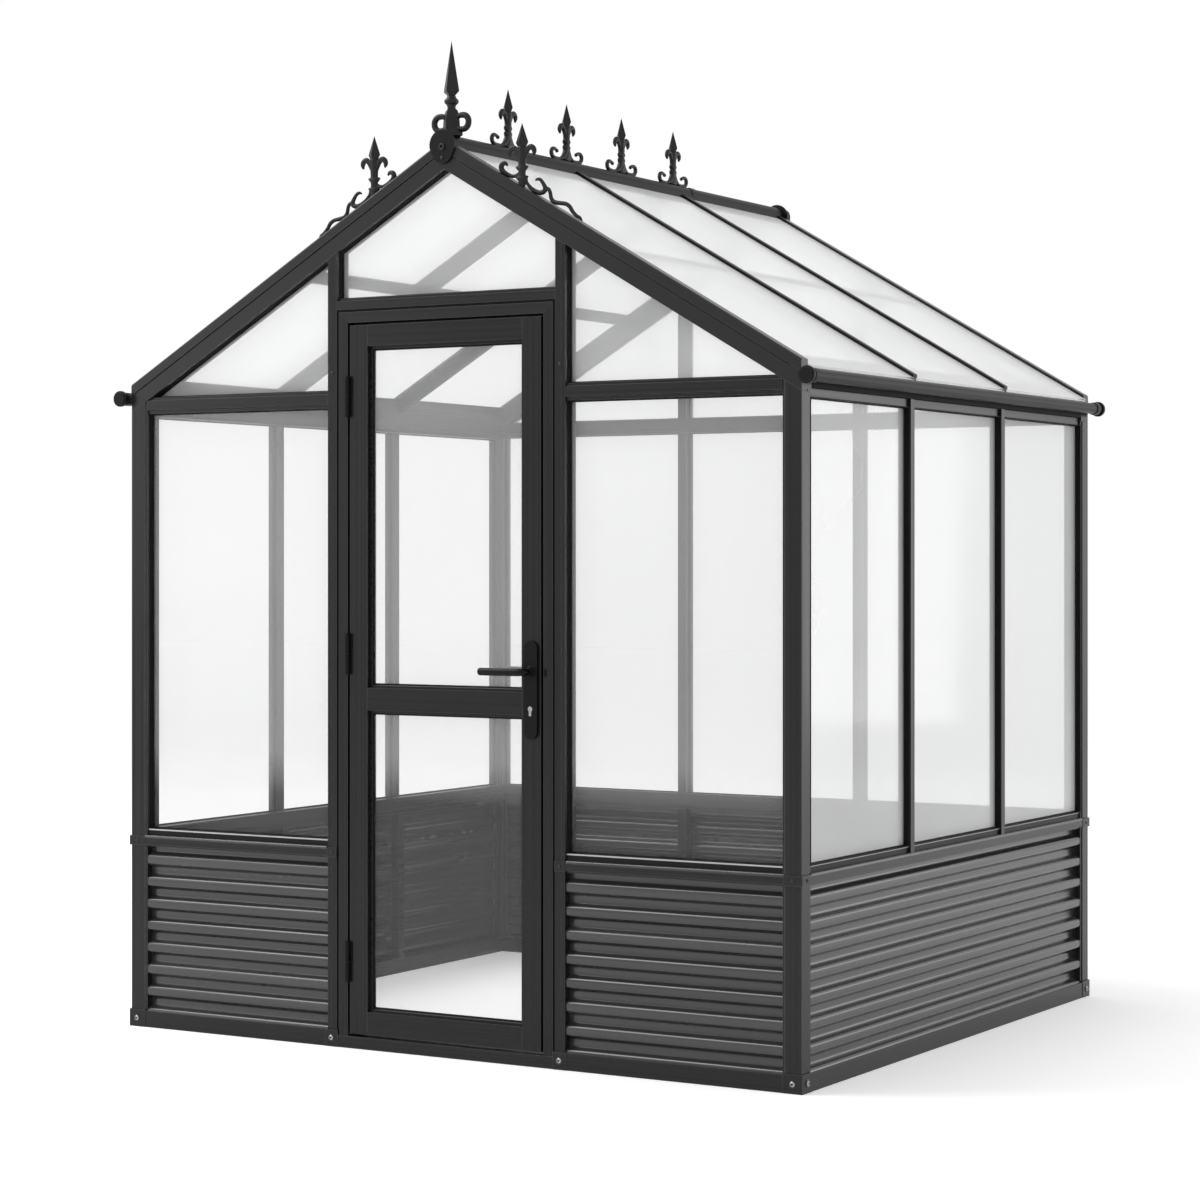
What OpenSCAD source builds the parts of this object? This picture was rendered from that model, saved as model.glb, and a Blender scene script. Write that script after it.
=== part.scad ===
// Greenhouse with a metal frame, clear polycarbonate sheets, a corrugated knee wall,
// a glazed front door with a lever handle, and cast cresting on the ridge and the front rafters.
// The origin is the middle of the footprint on the ground: +X right, -Y the door side, +Z up.
// A wall is drawn as the front wall: X along it, Y inwards from the outermost plane, Z up.

/* [Plan] */
// Overall width over the corner cleats
house_w = 2100; // [1900:10:2600]
// Overall length over the corner cleats
house_l = 1900; // [1500:10:2600]
// Window bays along each side wall
side_bays = 3; // [2:1:4]
// Distance from the middle of the rear wall to each of its two mullions
rear_mullion_x = 310; // [220:5:420]

/* [Frame] */
// Depth of the wall frame, from the outermost plane to the room
frame_d = 58; // [52:1:70]
// Thickness of the corner cleats, and the step from them back to the rails
cleat_t = 1.5; // [1:0.5:3]
// Step from the outermost plane back to the faces of the posts
post_step = 4; // [3.5:0.5:6]
// Width of the glazing bead along a post's edge
bead_w = 6; // [4:0.5:10]
// Step from a post's face back to its glazing bead
bead_step = 3; // [1:0.5:5]
// Width of a mullion's outer cap
mullion_cap_w = 23; // [18:1:28]
// Width of a mullion behind its cap, and of the studs below it
mullion_w = 30; // [28:1:44]
// Width of a door post
door_post_w = 30; // [24:1:44]
// Setback of the sills, the window heads and the mullions' bodies from the outermost plane
rail_set = 12; // [10:0.5:14]
// Thickness of a mullion's lips in front of the sheets
mullion_lip = 3; // [2:0.5:4]

/* [Heights] */
// Height of the base rails
base_h = 45; // [38:1:60]
// Height of the corrugated knee wall
knee_h = 458; // [300:1:600]
// Height of the shadow groove under the belt band
belt_groove_h = 5; // [3:1:8]
// Height of the proud band of the belt rail
belt_band_h = 21; // [16:1:30]
// Height of the sill between the belt band and the glazing
sill_h = 23; // [16:1:32]
// Height of the side windows
window_h = 1148; // [900:1:1300]
// Height of the flat head strip over the side windows
head_strip_h = 22; // [14:1:30]
// Height of the dark recess under the gutter
eave_recess_h = 20; // [10:1:28]
// Rise from the top of the side windows to the underside of the rafters at the posts
eave_rise = 12; // [6:1:20]
// Rise from the top of the side windows to the underside of the gable transoms
transom_rise = 7; // [4:1:20]
// Height of the gable transoms
transom_h = 45; // [30:1:60]
// Height of the glazing beads along a transom
transom_bead_h = 8; // [5:1:10]
// Setback of a transom's face from the outermost plane
transom_set = 5; // [3:0.5:8]
// Setback of the shadow groove under the belt band
belt_groove_set = 10; // [8:0.5:14]
// Setback of the dark recess under the gutter
eave_recess_set = 24; // [16:1:32]

/* [Sheets] */
// Thickness of the wall sheets and the door sheets
pane_t = 4; // [3:0.5:6]
// How far each wall sheet reaches into its grooves
pane_lap = 5; // [3:0.5:8]
// Setback of the sheets in the gable walls, from the outermost plane
gable_pane_set = 32; // [24:1:38]
// Setback of the sheets in the side walls, from the outermost plane
side_pane_set = 22; // [16:1:30]
// Thickness of the roof sheets
roof_sheet_t = 6; // [4:0.5:10]

/* [Knee wall] */
// Height of one corrugation
rib_pitch = 61; // [45:1:80]
// Depth of the corrugation
rib_d = 19; // [12:1:24]
// Steepness of the ribs' edges: higher is flatter on top
rib_flatness = 2.4; // [1.5:0.1:3]
// Distance from the top of the panel to the middle of its first rib
rib_lead = 37; // [20:1:60]
// Thickness of the corrugated metal
sheet_t = 1.2; // [0.8:0.1:2]
// Setback of the ribs from the outermost plane
rib_set = 8; // [6:1:14]

/* [Roof] */
// Slope of the roof, in degrees
roof_pitch = 30.25; // [24:0.25:36]
// Height of a rafter, square to the slope
rafter_h = 68; // [58:1:84]
// Height of the rounded band along the top of a rafter
rafter_band_h = 27; // [22:1:34]
// How far that band stands out from the posts' faces
rafter_band_step = 2; // [1:0.5:3]
// Width and depth of the groove under that band
rafter_groove = 3; // [2:0.5:5]
// Setback of the roof sheets' outer edges from the outermost plane
rafter_ledge = 38; // [30:1:46]
// Thickness of the caps over the roof sheets
cap_t = 8; // [5:1:12]
// Width of the roof bars
bar_w = 23; // [18:1:34]
// Width of a roof bar between the sheets
bar_web_w = 9; // [6:1:12]
// Height of a roof bar under the sheets, square to the slope
bar_h = 36; // [26:1:42]
// Width of the purlins, along the slope
purlin_w = 34; // [20:1:50]
// Height of the purlins, square to the slope
purlin_h = 20; // [12:1:26]

/* [Ridge] */
// Half the width of the ridge beam, and the radius of its rounded top
ridge_r = 25; // [20:1:30]
// Height of the centre of the ridge beam's round above the underside of its body
ridge_body_h = 40; // [30:1:50]
// Depth of the rafters' meeting point below the ridge beam
ridge_seat = 28; // [20:1:34]
// Height of the flat along the top of the beam above the centre of its round
ridge_flat_h = 22; // [18:0.5:24]
// Distance from the middle to the edge of the ridge beam's wings under the roof sheets
wing_x = 56; // [44:1:70]
// Thickness of the wings, square to the slope
wing_t = 8; // [5:1:12]
// Overhang of the ridge beam behind the rear rafters
ridge_tail = 52; // [20:1:80]
// Depth of the middle of a boss plate below the top of the ridge beam
boss_drop = 27; // [20:1:32]
// Radius of the boss plates on the gables
boss_r = 39.5; // [34:0.5:46]
// Radius of the rounded chin under a boss plate
chin_r = 32; // [30:1:35]
// Distance from the middle of a boss plate down to the middle of its chin
chin_drop = 17; // [14:1:20]
// Thickness of the boss plates
boss_t = 6; // [4:1:10]
// Length of the joint collar on the ridge beam
collar_l = 30; // [16:1:50]
// Thickness of the joint collar
collar_t = 2; // [1:0.5:4]
// Distance from the middle of the house to the joint collar
collar_y = 370; // [340:5:600]

/* [Gutters] */
// Radius of the gutter tubes
gutter_r = 16; // [12:1:20]
// Clearance from the frame to the gutter tubes
gutter_gap = 8; // [4:1:14]
// Radius of the gutter end caps
gutter_cap_r = 22; // [18:1:24]
// Length of the gutter end caps
gutter_cap_l = 14; // [8:1:20]
// Size of the step around the rim of an end cap
gutter_cap_step = 4; // [2:1:6]
// Length of the collars near the ends of the gutters
gutter_collar_l = 24; // [14:1:30]
// Thickness of the collars
gutter_collar_t = 2.5; // [1:0.5:4]
// Distance from the end of a gutter tube to its collar
gutter_collar_set = 12; // [6:1:20]
// Height of the web that carries a gutter
gutter_web_h = 12; // [8:1:14]
// Height of the gutter's centre above the dark recess
gutter_rise = 8; // [6:1:12]
// Overhang of the gutter tubes at each gable, without their end caps
gutter_over = 14; // [6:1:24]

/* [Cresting] */
// Height of the front spire
spire_h = 251; // [200:1:300]
// Distance from the front outermost plane to the spire
spire_set = 42; // [40:1:80]
// Height of the spire's spear head
spire_head_h = 145; // [110:1:180]
// Width of the spire's spear head across its corners
spire_head_w = 49; // [36:1:60]
// Height of the spire's four-sided bell
spire_bell_h = 72; // [60:1:84]
// Width of the bell across its corners
spire_bell_w = 52; // [44:1:60]
// Width of the bell's foot across its corners
spire_foot_w = 70; // [60:1:74]
// Radius of the spire's neck
spire_neck_r = 11.5; // [9:0.5:14]
// Radius of the knob on the spire's neck
spire_knob_r = 19.5; // [15:0.5:24]
// Height of that knob's middle
spire_knob_z = 91; // [88:1:94]
// Radius of the loops beside the bell
spire_loop_r = 18; // [15:1:20]
// Thickness of the loops
spire_loop_t = 12; // [9:0.5:13]
// Distance from the spire's axis to the middle of each loop
spire_loop_x = 37; // [34:1:40]
// Height of the middle of the loops
spire_loop_z = 35; // [32:1:38]
// Height of the ridge and rafter finials
finial_h = 162; // [140:1:180]
// Height of a finial's spear head
finial_head_h = 62; // [50:1:72]
// Width of a finial's spear head across its corners
finial_head_w = 36; // [28:1:40]
// Radius of a finial's stem
finial_stem_r = 10; // [8:0.5:11]
// Radius of the knobs on a finial's stem
finial_knob_r = 17; // [14:0.5:20]
// Heights of the two knobs on a ridge finial
ridge_knob_zs = [40, 56];
// Heights of the two knobs on a rafter finial
rafter_knob_zs = [20, 46];
// Radius of a finial's petals
petal_r = 12; // [10:0.5:14]
// Thickness of the petals
petal_t = 11; // [8:0.5:12]
// Half the width of a ridge finial's flared foot
foot_w = 40; // [34:1:46]
// Height of the flared foot
foot_h = 36; // [30:1:37]
// Radius of the scrolls beside a ridge finial
side_scroll_r = 13; // [11:0.5:14]
// Radius of the curl on the uphill side of a rafter finial
curl_r = 12; // [10:0.5:14]
// Distance from a rafter finial up the slope to the middle of its curl
curl_l = 66; // [58:1:74]
// Reach of a rafter finial's oval scroll down the slope
oval_l = 72; // [64:1:80]
// Reach of the tendril beyond the oval scroll
tendril_l = 140; // [120:1:160]
// Thickness of the scrolls
scroll_t = 7; // [5:0.5:8]
// Number of finials along the ridge
ridge_finials = 4; // [2:1:5]
// Distance between the finials along the ridge
finial_pitch = 304; // [240:2:320]
// Position of the first finial along the ridge
first_finial_y = -632; // [-700:2:-560]
// Distance from the middle to each rafter finial
rafter_finial_x = 232; // [180:2:320]

/* [Door] */
// Width of the door leaf
leaf_w = 599; // [540:1:660]
// Height of the door leaf
leaf_h = 1886; // [1800:1:1900]
// Thickness of the door leaf
leaf_t = 40; // [36:1:42]
// Gap around the door leaf
door_gap = 7; // [5:0.5:9]
// Height of the threshold
threshold_h = 32; // [26:1:38]
// Width of the door leaf's stiles
stile_w = 57; // [50:1:80]
// Height of the door leaf's top rail
top_rail_h = 57; // [40:1:80]
// Height of the door leaf's bottom rail
bottom_rail_h = 61; // [50:1:120]
// Height of the door leaf's middle rail
mid_rail_h = 60; // [40:1:90]
// Height of the middle rail's lower edge above the ground
mid_rail_z = 901; // [850:1:940]
// Width of the glazing bead around the door sheets
door_bead_w = 8; // [6:0.5:14]
// Setback of the door's glazing bead from the faces of the leaf
door_bead_set = 13; // [8:1:15]
// Face width of the door frame
door_frame_w = 29; // [24:1:40]
// Width of the shadow groove around the door frame
door_groove_w = 6.5; // [4:0.5:10]
// Depth of the shadow groove around the door frame
door_groove_d = 8; // [4:1:12]
// Reach of the door stop from the frame's inner edge
stop_w = 14; // [12:0.5:18]
// Thickness of the door stop
stop_t = 5; // [4:0.5:8]
// Height of the header over the door
header_h = 30.5; // [26:0.5:40]
// Height of the bead along the top of the header
header_bead_h = 7; // [4:1:10]

/* [Hinges] */
// Radius of the hinge knuckles
knuckle_r = 7; // [6:0.5:8]
// Height of one hinge
hinge_h = 108; // [80:2:140]
// Radius of the hinge pins
pin_r = 4; // [3:0.5:4.5]
// Running clearance between a pin and its bore
pin_play = 0.05; // [0.02:0.01:0.09]
// Clearance between the halves of a hinge
knuckle_gap = 0.4; // [0.3:0.1:1]
// Width of a hinge flag
flag_w = 12; // [10:1:32]
// Thickness of a hinge flag
flag_t = 2.5; // [2:0.5:4]
// Height of the middle of the lowest hinge
low_hinge_z = 230; // [160:5:300]
// Height of the middle of the middle hinge
mid_hinge_z = 1050; // [990:5:1100]
// Height of the middle of the highest hinge
high_hinge_z = 1735; // [1660:5:1780]

/* [Handle] */
// Distance from the leaf's closing edge to the handle's axis
backset = 27.5; // [26:0.5:32]
// Height of the handle's axis
lever_z = 1013; // [980:1:1060]
// Width of the outer lock plate
outer_plate_w = 40; // [30:1:46]
// Width of the inner lock plate
inner_plate_w = 30; // [26:1:32]
// Height of the lock plates
plate_h = 253; // [200:1:280]
// Distance from the handle's axis up to the top of the lock plates
plate_top = 80; // [60:1:100]
// Thickness of the lock plates
plate_t = 8; // [5:1:10]
// Radius of the lever's grip
grip_r = 10; // [8:0.5:11]
// Length of the lever, from its axis to its tip
lever_l = 135; // [100:1:150]
// Distance from the leaf's face to the centre line of the grip
lever_out = 42; // [38:1:50]
// Radius of the lever's spindle
spindle_r = 6; // [4:0.5:7]
// Clearance between the lever's hubs and the lock plates
hub_gap = 0.4; // [0.3:0.1:1]
// Length of the lever's hubs
hub_l = 8; // [5:1:12]
// How far a hub stands out around the grip
hub_rim = 1; // [0.5:0.5:2.5]

/* [Cleats] */
// Length of each arm of the corner cleats on the base rails
base_cleat_l = 55; // [54:1:80]
// Height of the cleats on the base rails
base_cleat_h = 48; // [45:1:60]
// Width of the foot plates under the door posts
foot_plate_w = 40; // [32:1:50]
// Length of each arm of the corner cleats on the belt rails
belt_cleat_l = 52; // [40:1:70]
// Height of the cleats on the belt rails
belt_cleat_h = 26; // [21:1:34]

/* [Hidden] */
$fn = 48;

// Heights of the wall's parts
belt_z = base_h + knee_h;
band_z = belt_z + belt_groove_h;
sill_z = band_z + belt_band_h;
glass_z = sill_z + sill_h;
plate_z = glass_z + window_h;
transom_z = plate_z + transom_rise;
transom_top_z = transom_z + transom_h;

// Half spans, to the faces of the posts and to the insides of the walls
face_x = house_w / 2 - post_step;
face_y = house_l / 2 - post_step;
room_x = house_w / 2 - frame_d;
room_y = house_l / 2 - frame_d;
post_w = frame_d - post_step;

// Doorway, from the leaf outwards
leaf_z = threshold_h + door_gap;
leaf_top_z = leaf_z + leaf_h;
jamb_x = leaf_w / 2 + door_gap;
head_z = leaf_top_z + door_gap;
frame_profile_w = door_frame_w + door_groove_w;
door_post_x = jamb_x + frame_profile_w;
door_post_out = door_post_x + door_post_w;
header_z = head_z + frame_profile_w;
header_top_z = header_z + header_h;
leaf_back = post_step + leaf_t;

// Roof: the height of the rafters' tops at the middle, and the layers square to the slope
slope = tan(roof_pitch);
apex_z = plate_z + eave_rise + rafter_h / cos(roof_pitch) + face_x * slope;
sheet_under = cap_t + roof_sheet_t;
ridge_round_z = apex_z - rafter_h / cos(roof_pitch) + ridge_seat + ridge_body_h;
ridge_under_z = ridge_round_z - ridge_body_h;
ridge_top_z = ridge_round_z + ridge_flat_h;
rafter_l = face_x / cos(roof_pitch);
ridge_back_y = face_y + ridge_tail;

// Gutter
gutter_x = face_x + gutter_gap + gutter_r;
gutter_z = plate_z + head_strip_h + eave_recess_h + gutter_rise;

// Side windows of equal width
side_pane_l = (2 * room_y - (side_bays - 1) * mullion_w) / side_bays;

// Hinges and handle
hinge_x = -(leaf_w / 2 + door_gap / 2);
hinge_d = post_step - knuckle_r;
lever_x = leaf_w / 2 - backset;

// Shared details of the extruded profiles
side_face_w = 43;
round_r = 7;
profile_groove = 1.5;
door_post_groove_x = door_post_x + door_post_w * 0.6;

// A reach past the whole house, for cuts
far = 4000;

frame_grey = "#3a3b3c";
sheet_grey = "#4c4d4e";
cast_black = "#2a2a2b";
clear = [0.9, 0.94, 0.96, 0.3];

function roof_z(x, drop) = apex_z - drop / cos(roof_pitch) - slope * abs(x);
function mullion_y(i) = -room_y + i * side_pane_l + (i - 0.5) * mullion_w;

// Depth of the knee wall's face at distance t below its top: waves with flattened crests
function corrugation(t) =
    let (wave = rib_flatness * cos(360 * (t - rib_lead) / rib_pitch))
    rib_set + rib_d / 2 * (1 - wave / pow(1 + pow(abs(wave), 5), 1 / 5));

// Points along an arc and along a curve with two handles
function arc(centre, radius, start, end, steps) =
    [for (i = [0 : steps]) let (a = start + (end - start) * i / steps)
        centre + radius * [cos(a), sin(a)]];
function bezier(p0, p1, p2, p3, steps) =
    [for (i = [0 : steps]) let (t = i / steps, u = 1 - t)
        u * u * u * p0 + 3 * u * u * t * p1 + 3 * u * t * t * p2 + t * t * t * p3];

// Points given as shares of a size, set out from a corner
function shaped(points, corner, size) =
    [for (p = points) corner + [p[0] * size[0], p[1] * size[1]]];

// ---- Places ----

module on_front() {
    translate([0, -house_l / 2, 0]) children();
}

module on_rear() {
    rotate([0, 0, 180]) on_front() children();
}

module on_right() {
    rotate([0, 0, 90]) translate([0, -house_w / 2, 0]) children();
}

module on_left() {
    rotate([0, 0, -90]) translate([0, -house_w / 2, 0]) children();
}

// Both halves of something drawn on the +X side
module both_sides() {
    children();
    mirror([1, 0, 0]) children();
}

// Both halves of something drawn on the -Y side
module both_ends() {
    children();
    mirror([0, 1, 0]) children();
}

// The right slope: X down the slope from the apex, Z square to it, 0 at the rafters' tops
module on_slope() {
    translate([0, 0, apex_z]) rotate([0, roof_pitch, 0]) children();
}

// ---- Shapes ----

// A bar along X, from an outline of depth and height
module rail(x0, x1, outline) {
    translate([x0, 0, 0]) rotate([90, 0, 90]) linear_extrude(x1 - x0) polygon(outline);
}

// A slab square to the wall, from depth d0 to d1 and from an outline of X and height
module slab(d0, d1, outline) {
    translate([0, d1, 0]) rotate([90, 0, 0]) linear_extrude(d1 - d0) polygon(outline);
}

// A plain block between two corners
module block(low, high) {
    translate(low) cube(high - low);
}

// The space under the roof, drop below the rafters' tops, in a wall's coordinates
module under_roof(drop, d0, d1) {
    slab(d0, d1, [
        [-far, -far], [far, -far], [far, roof_z(far, drop)], [0, roof_z(0, drop)],
        [-far, roof_z(far, drop)]
    ]);
}

// An arc of round bar in the XZ plane, with round ends, angles from +X towards +Z
module arc_bar(centre, radius, thick, start, sweep) {
    translate([centre[0], 0, centre[1]]) {
        rotate([90, 0, 0]) rotate([0, 0, start]) rotate_extrude(angle = sweep)
            translate([radius, 0]) circle(d = thick, $fn = 24);
        for (a = [start, start + sweep])
            translate([radius * cos(a), 0, radius * sin(a)]) sphere(d = thick, $fn = 24);
    }
}

// A flat cast scroll in the XZ plane along a path, swelling on its way and tapering at its end
module ribbon(path, thick) {
    swell = 0.5;
    taper = 0.4;
    last = len(path) - 1;
    side = [for (i = [0 : last]) let (
        along = path[min(i + 1, last)] - path[max(i - 1, 0)],
        half = thick / 2 * (1 + swell * sin(180 * i / last) - taper * i / last)
    ) [-along[1], along[0]] / norm(along) * half];
    translate([0, thick / 2, 0]) rotate([90, 0, 0]) linear_extrude(thick) polygon(concat(
        [for (i = [0 : last]) path[i] + side[i]],
        [for (i = [last : -1 : 0]) path[i] - side[i]]
    ));
}

// ---- Base, posts and rails ----

module base_rail(x0, x1, top) {
    block([x0, cleat_t, 0], [x1, frame_d, top]);
}

module front_base_rail() {
    half = house_w / 2 - cleat_t;
    color(frame_grey) on_front() difference() {
        base_rail(-half, half, base_h);
        block([-door_post_out, 0, threshold_h], [door_post_out, frame_d + 1, base_h + 1]);
    }
}

module rear_base_rail() {
    half = house_w / 2 - cleat_t;
    color(frame_grey) on_rear() base_rail(-half, half, base_h);
}

module side_base_rails() {
    color(frame_grey) {
        on_left() base_rail(-room_y, room_y, base_h);
        on_right() base_rail(-room_y, room_y, base_h);
    }
}

// Corner post on the front right, with a groove for the sheets on each inner side
module corner_post() {
    inner = house_w / 2 - frame_d;
    intersection() {
        on_front() difference() {
            block([inner, post_step, base_h], [face_x, frame_d, far]);
            block([inner - 1, 0, 0], [inner + bead_w, post_step + bead_step, far + 1]);
            block([inner + bead_w, 0, 0],
                [inner + bead_w + profile_groove, post_step + profile_groove, far + 1]);
            block([inner - 1, gable_pane_set, 0],
                [inner + pane_lap, gable_pane_set + pane_t, far + 1]);
            block([face_x - bead_step, post_step + side_face_w, 0], [far, far, far + 1]);
            block([house_w / 2 - side_pane_set - pane_t, frame_d - pane_lap, 0],
                [house_w / 2 - side_pane_set, frame_d + 1, far + 1]);
        }
        on_front() under_roof(rafter_h, -1, frame_d + 1);
    }
}

module corner_posts() {
    color(frame_grey) both_sides() {
        corner_post();
        mirror([0, 1, 0]) corner_post();
    }
}

module door_posts() {
    color(frame_grey) on_front() both_sides() intersection() {
        difference() {
            block([door_post_x, post_step, threshold_h], [door_post_out, frame_d, far]);
            block([door_post_groove_x, 0, 0],
                [door_post_groove_x + profile_groove, post_step + profile_groove, far + 1]);
            block([door_post_out - pane_lap, gable_pane_set, glass_z - pane_lap],
                [door_post_out + 1, gable_pane_set + pane_t, far + 1]);
            block([door_post_x - 1, gable_pane_set, header_top_z - pane_lap],
                [door_post_x + pane_lap, gable_pane_set + pane_t, far + 1]);
        }
        under_roof(rafter_h, -1, frame_d + 1);
    }
}

// Belt rail: the proud band, the sill behind it and the groove for the sheets
module belt_rail(x0, x1, pane_set) {
    difference() {
        rail(x0, x1, [
            [belt_groove_set, belt_z], [belt_groove_set, band_z], [cleat_t, band_z], [cleat_t, sill_z],
            [rail_set, sill_z], [rail_set, glass_z], [frame_d, glass_z], [frame_d, belt_z]
        ]);
        block([x0 - 1, pane_set, glass_z - pane_lap], [x1 + 1, pane_set + pane_t, glass_z + 1]);
    }
}

// The band's strip over a post's face
module belt_strip(x0, x1) {
    block([x0, cleat_t, band_z], [x1, post_step, sill_z]);
}

module front_belt_rails() {
    color(frame_grey) on_front() both_sides() {
        belt_rail(door_post_out, room_x, gable_pane_set);
        belt_strip(door_post_x, door_post_out);
        belt_strip(room_x, house_w / 2 - cleat_t);
    }
}

module rear_belt_rail() {
    color(frame_grey) on_rear() {
        belt_rail(-room_x, room_x, gable_pane_set);
        both_sides() belt_strip(room_x, house_w / 2 - cleat_t);
    }
}

module side_belt_rail() {
    belt_rail(-room_y, room_y, side_pane_set);
    both_sides() belt_strip(room_y, face_y);
}

module side_belt_rails() {
    color(frame_grey) {
        on_left() side_belt_rail();
        on_right() side_belt_rail();
    }
}

// Gable transom: a proud face between two glazing beads, grooved below and above
module transom(x0, x1) {
    low = transom_z + transom_bead_h;
    high = transom_top_z - transom_bead_h;
    difference() {
        rail(x0, x1, [
            [rail_set, transom_z], [rail_set, low], [transom_set, low + profile_groove],
            [transom_set, high], [rail_set, high], [rail_set, transom_top_z],
            [frame_d, transom_top_z], [frame_d, transom_z]
        ]);
        for (z = [transom_z - 1, transom_top_z - pane_lap])
            block([x0 - 1, gable_pane_set, z], [x1 + 1, gable_pane_set + pane_t, z + pane_lap + 1]);
    }
}

module front_transoms() {
    color(frame_grey) on_front() both_sides() intersection() {
        transom(door_post_out, room_x);
        under_roof(rafter_h, -1, frame_d + 1);
    }
}

module rear_transom() {
    color(frame_grey) on_rear() intersection() {
        transom(-room_x, room_x);
        under_roof(rafter_h, -1, frame_d + 1);
    }
}

// Wall plate under the eave: head strip, dark recess, and the flange that carries the gutter
module wall_plate() {
    strip_z = plate_z + head_strip_h;
    recess_z = strip_z + eave_recess_h;
    difference() {
        rail(-room_y, room_y, [
            [rail_set, plate_z], [rail_set, strip_z], [eave_recess_set, strip_z],
            [eave_recess_set, recess_z], [post_step, recess_z],
            [post_step, roof_z(face_x, sheet_under)], [frame_d, roof_z(room_x, sheet_under)],
            [frame_d, plate_z]
        ]);
        block([-far, side_pane_set, plate_z - 1], [far, side_pane_set + pane_t, plate_z + pane_lap]);
    }
}

module wall_plates() {
    color(frame_grey) {
        on_left() wall_plate();
        on_right() wall_plate();
    }
}

// ---- Mullions and studs ----

// A mullion at x, from z0 to z1 behind the sheets, its cap reaching over the rails
module mullion(x, z0, z1, cap_z0, cap_z1, pane_set) {
    translate([x, 0, 0]) difference() {
        union() {
            block([-mullion_w / 2, rail_set, z0], [mullion_w / 2, frame_d, z1]);
            block([-mullion_cap_w / 2, post_step, cap_z0], [mullion_cap_w / 2, rail_set, cap_z1]);
        }
        for (side = [-1, 1])
            translate([side * mullion_w / 2, 0, 0])
                block([-pane_lap, pane_set, z0 - 1], [pane_lap, pane_set + pane_t, z1 + 1]);
        for (side = [-1, 1])
            translate([side * (mullion_w + mullion_cap_w) / 4, 0, 0])
                block([-(mullion_w - mullion_cap_w) / 4, 0, z0 - 1],
                    [(mullion_w - mullion_cap_w) / 4, pane_set - mullion_lip, z1 + 1]);
    }
}

module side_wall_mullions() {
    for (i = [1 : side_bays - 1])
        mullion(mullion_y(i), glass_z, plate_z, sill_z, plate_z + head_strip_h, side_pane_set);
}

module side_mullions() {
    color(frame_grey) {
        on_left() side_wall_mullions();
        on_right() side_wall_mullions();
    }
}

// Rear mullions in two lengths, below the transom and above it up to the rafters
module rear_mullions() {
    color(frame_grey) on_rear() both_sides() {
        mullion(rear_mullion_x, glass_z, transom_z, sill_z, transom_z, gable_pane_set);
        intersection() {
            mullion(rear_mullion_x, transom_top_z, far, transom_top_z, far, gable_pane_set);
            under_roof(rafter_h, -1, frame_d + 1);
        }
    }
}

// Studs behind the knee wall, one under each mullion
module knee_stud(x) {
    block([x - mullion_w / 2, rib_set + rib_d + sheet_t, base_h], [x + mullion_w / 2, frame_d, belt_z]);
}

module side_wall_studs() {
    for (i = [1 : side_bays - 1])
        knee_stud(mullion_y(i));
}

module knee_studs() {
    color(frame_grey) {
        on_left() side_wall_studs();
        on_right() side_wall_studs();
        on_rear() both_sides() knee_stud(rear_mullion_x);
    }
}

// ---- Knee wall ----

module knee_panel(x0, x1) {
    steps_per_rib = 14;
    steps = round(steps_per_rib * knee_h / rib_pitch);
    front = [for (i = [0 : steps]) let (t = knee_h * i / steps) [corrugation(t), belt_z - t]];
    back = [for (i = [steps : -1 : 0]) front[i] + [sheet_t, 0]];
    rail(x0, x1, concat(front, back));
}

module front_knee_panels() {
    color(sheet_grey) on_front() both_sides() knee_panel(door_post_out, room_x);
}

module rear_knee_panel() {
    color(sheet_grey) on_rear() knee_panel(-room_x, room_x);
}

module left_knee_panel() {
    color(sheet_grey) on_left() knee_panel(-room_y, room_y);
}

module right_knee_panel() {
    color(sheet_grey) on_right() knee_panel(-room_y, room_y);
}

// ---- Sheets ----

module pane(x0, x1, z0, z1, pane_set) {
    block([x0 - pane_lap, pane_set, z0 - pane_lap],
        [x1 + pane_lap, pane_set + pane_t, z1 + pane_lap]);
}

module front_windows() {
    color(clear) on_front() both_sides()
        pane(door_post_out, room_x, glass_z, transom_z, gable_pane_set);
}

module rear_windows() {
    edge = rear_mullion_x + mullion_w / 2;
    inner = rear_mullion_x - mullion_w / 2;
    color(clear) on_rear() {
        pane(-inner, inner, glass_z, transom_z, gable_pane_set);
        both_sides() pane(edge, room_x, glass_z, transom_z, gable_pane_set);
    }
}

module side_windows() {
    for (i = [1 : side_bays])
        pane(mullion_y(i) - mullion_w / 2 - side_pane_l, mullion_y(i) - mullion_w / 2,
            glass_z, plate_z, side_pane_set);
}

module left_windows() {
    color(clear) on_left() side_windows();
}

module right_windows() {
    color(clear) on_right() side_windows();
}

// A sheet of the gable, cut to the slope of the rafters' grooves
module gable_pane(x0, x1, z0) {
    intersection() {
        pane(x0, x1, z0, far, gable_pane_set);
        under_roof(rafter_h - pane_lap, gable_pane_set, gable_pane_set + pane_t);
    }
}

module front_gable_sheets() {
    color(clear) on_front() {
        gable_pane(-door_post_x, door_post_x, header_top_z);
        both_sides() gable_pane(door_post_out, room_x, transom_top_z);
    }
}

module rear_gable_sheets() {
    edge = rear_mullion_x + mullion_w / 2;
    inner = rear_mullion_x - mullion_w / 2;
    color(clear) on_rear() {
        gable_pane(-inner, inner, transom_top_z);
        both_sides() gable_pane(edge, room_x, transom_top_z);
    }
}

// The right slope's sheets, between the ridge beam's side and the middle of the gutter's web
module slope_sheets() {
    edge_y = house_l / 2 - rafter_ledge;
    intersection() {
        on_slope() difference() {
            block([0, -edge_y, -sheet_under], [far, edge_y, -cap_t]);
            for (i = [1 : side_bays - 1])
                block([0, mullion_y(i) - bar_web_w / 2, -far], [far, mullion_y(i) + bar_web_w / 2, far]);
        }
        block([ridge_r, -far, 0], [face_x + gutter_gap, far, far]);
    }
}

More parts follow.
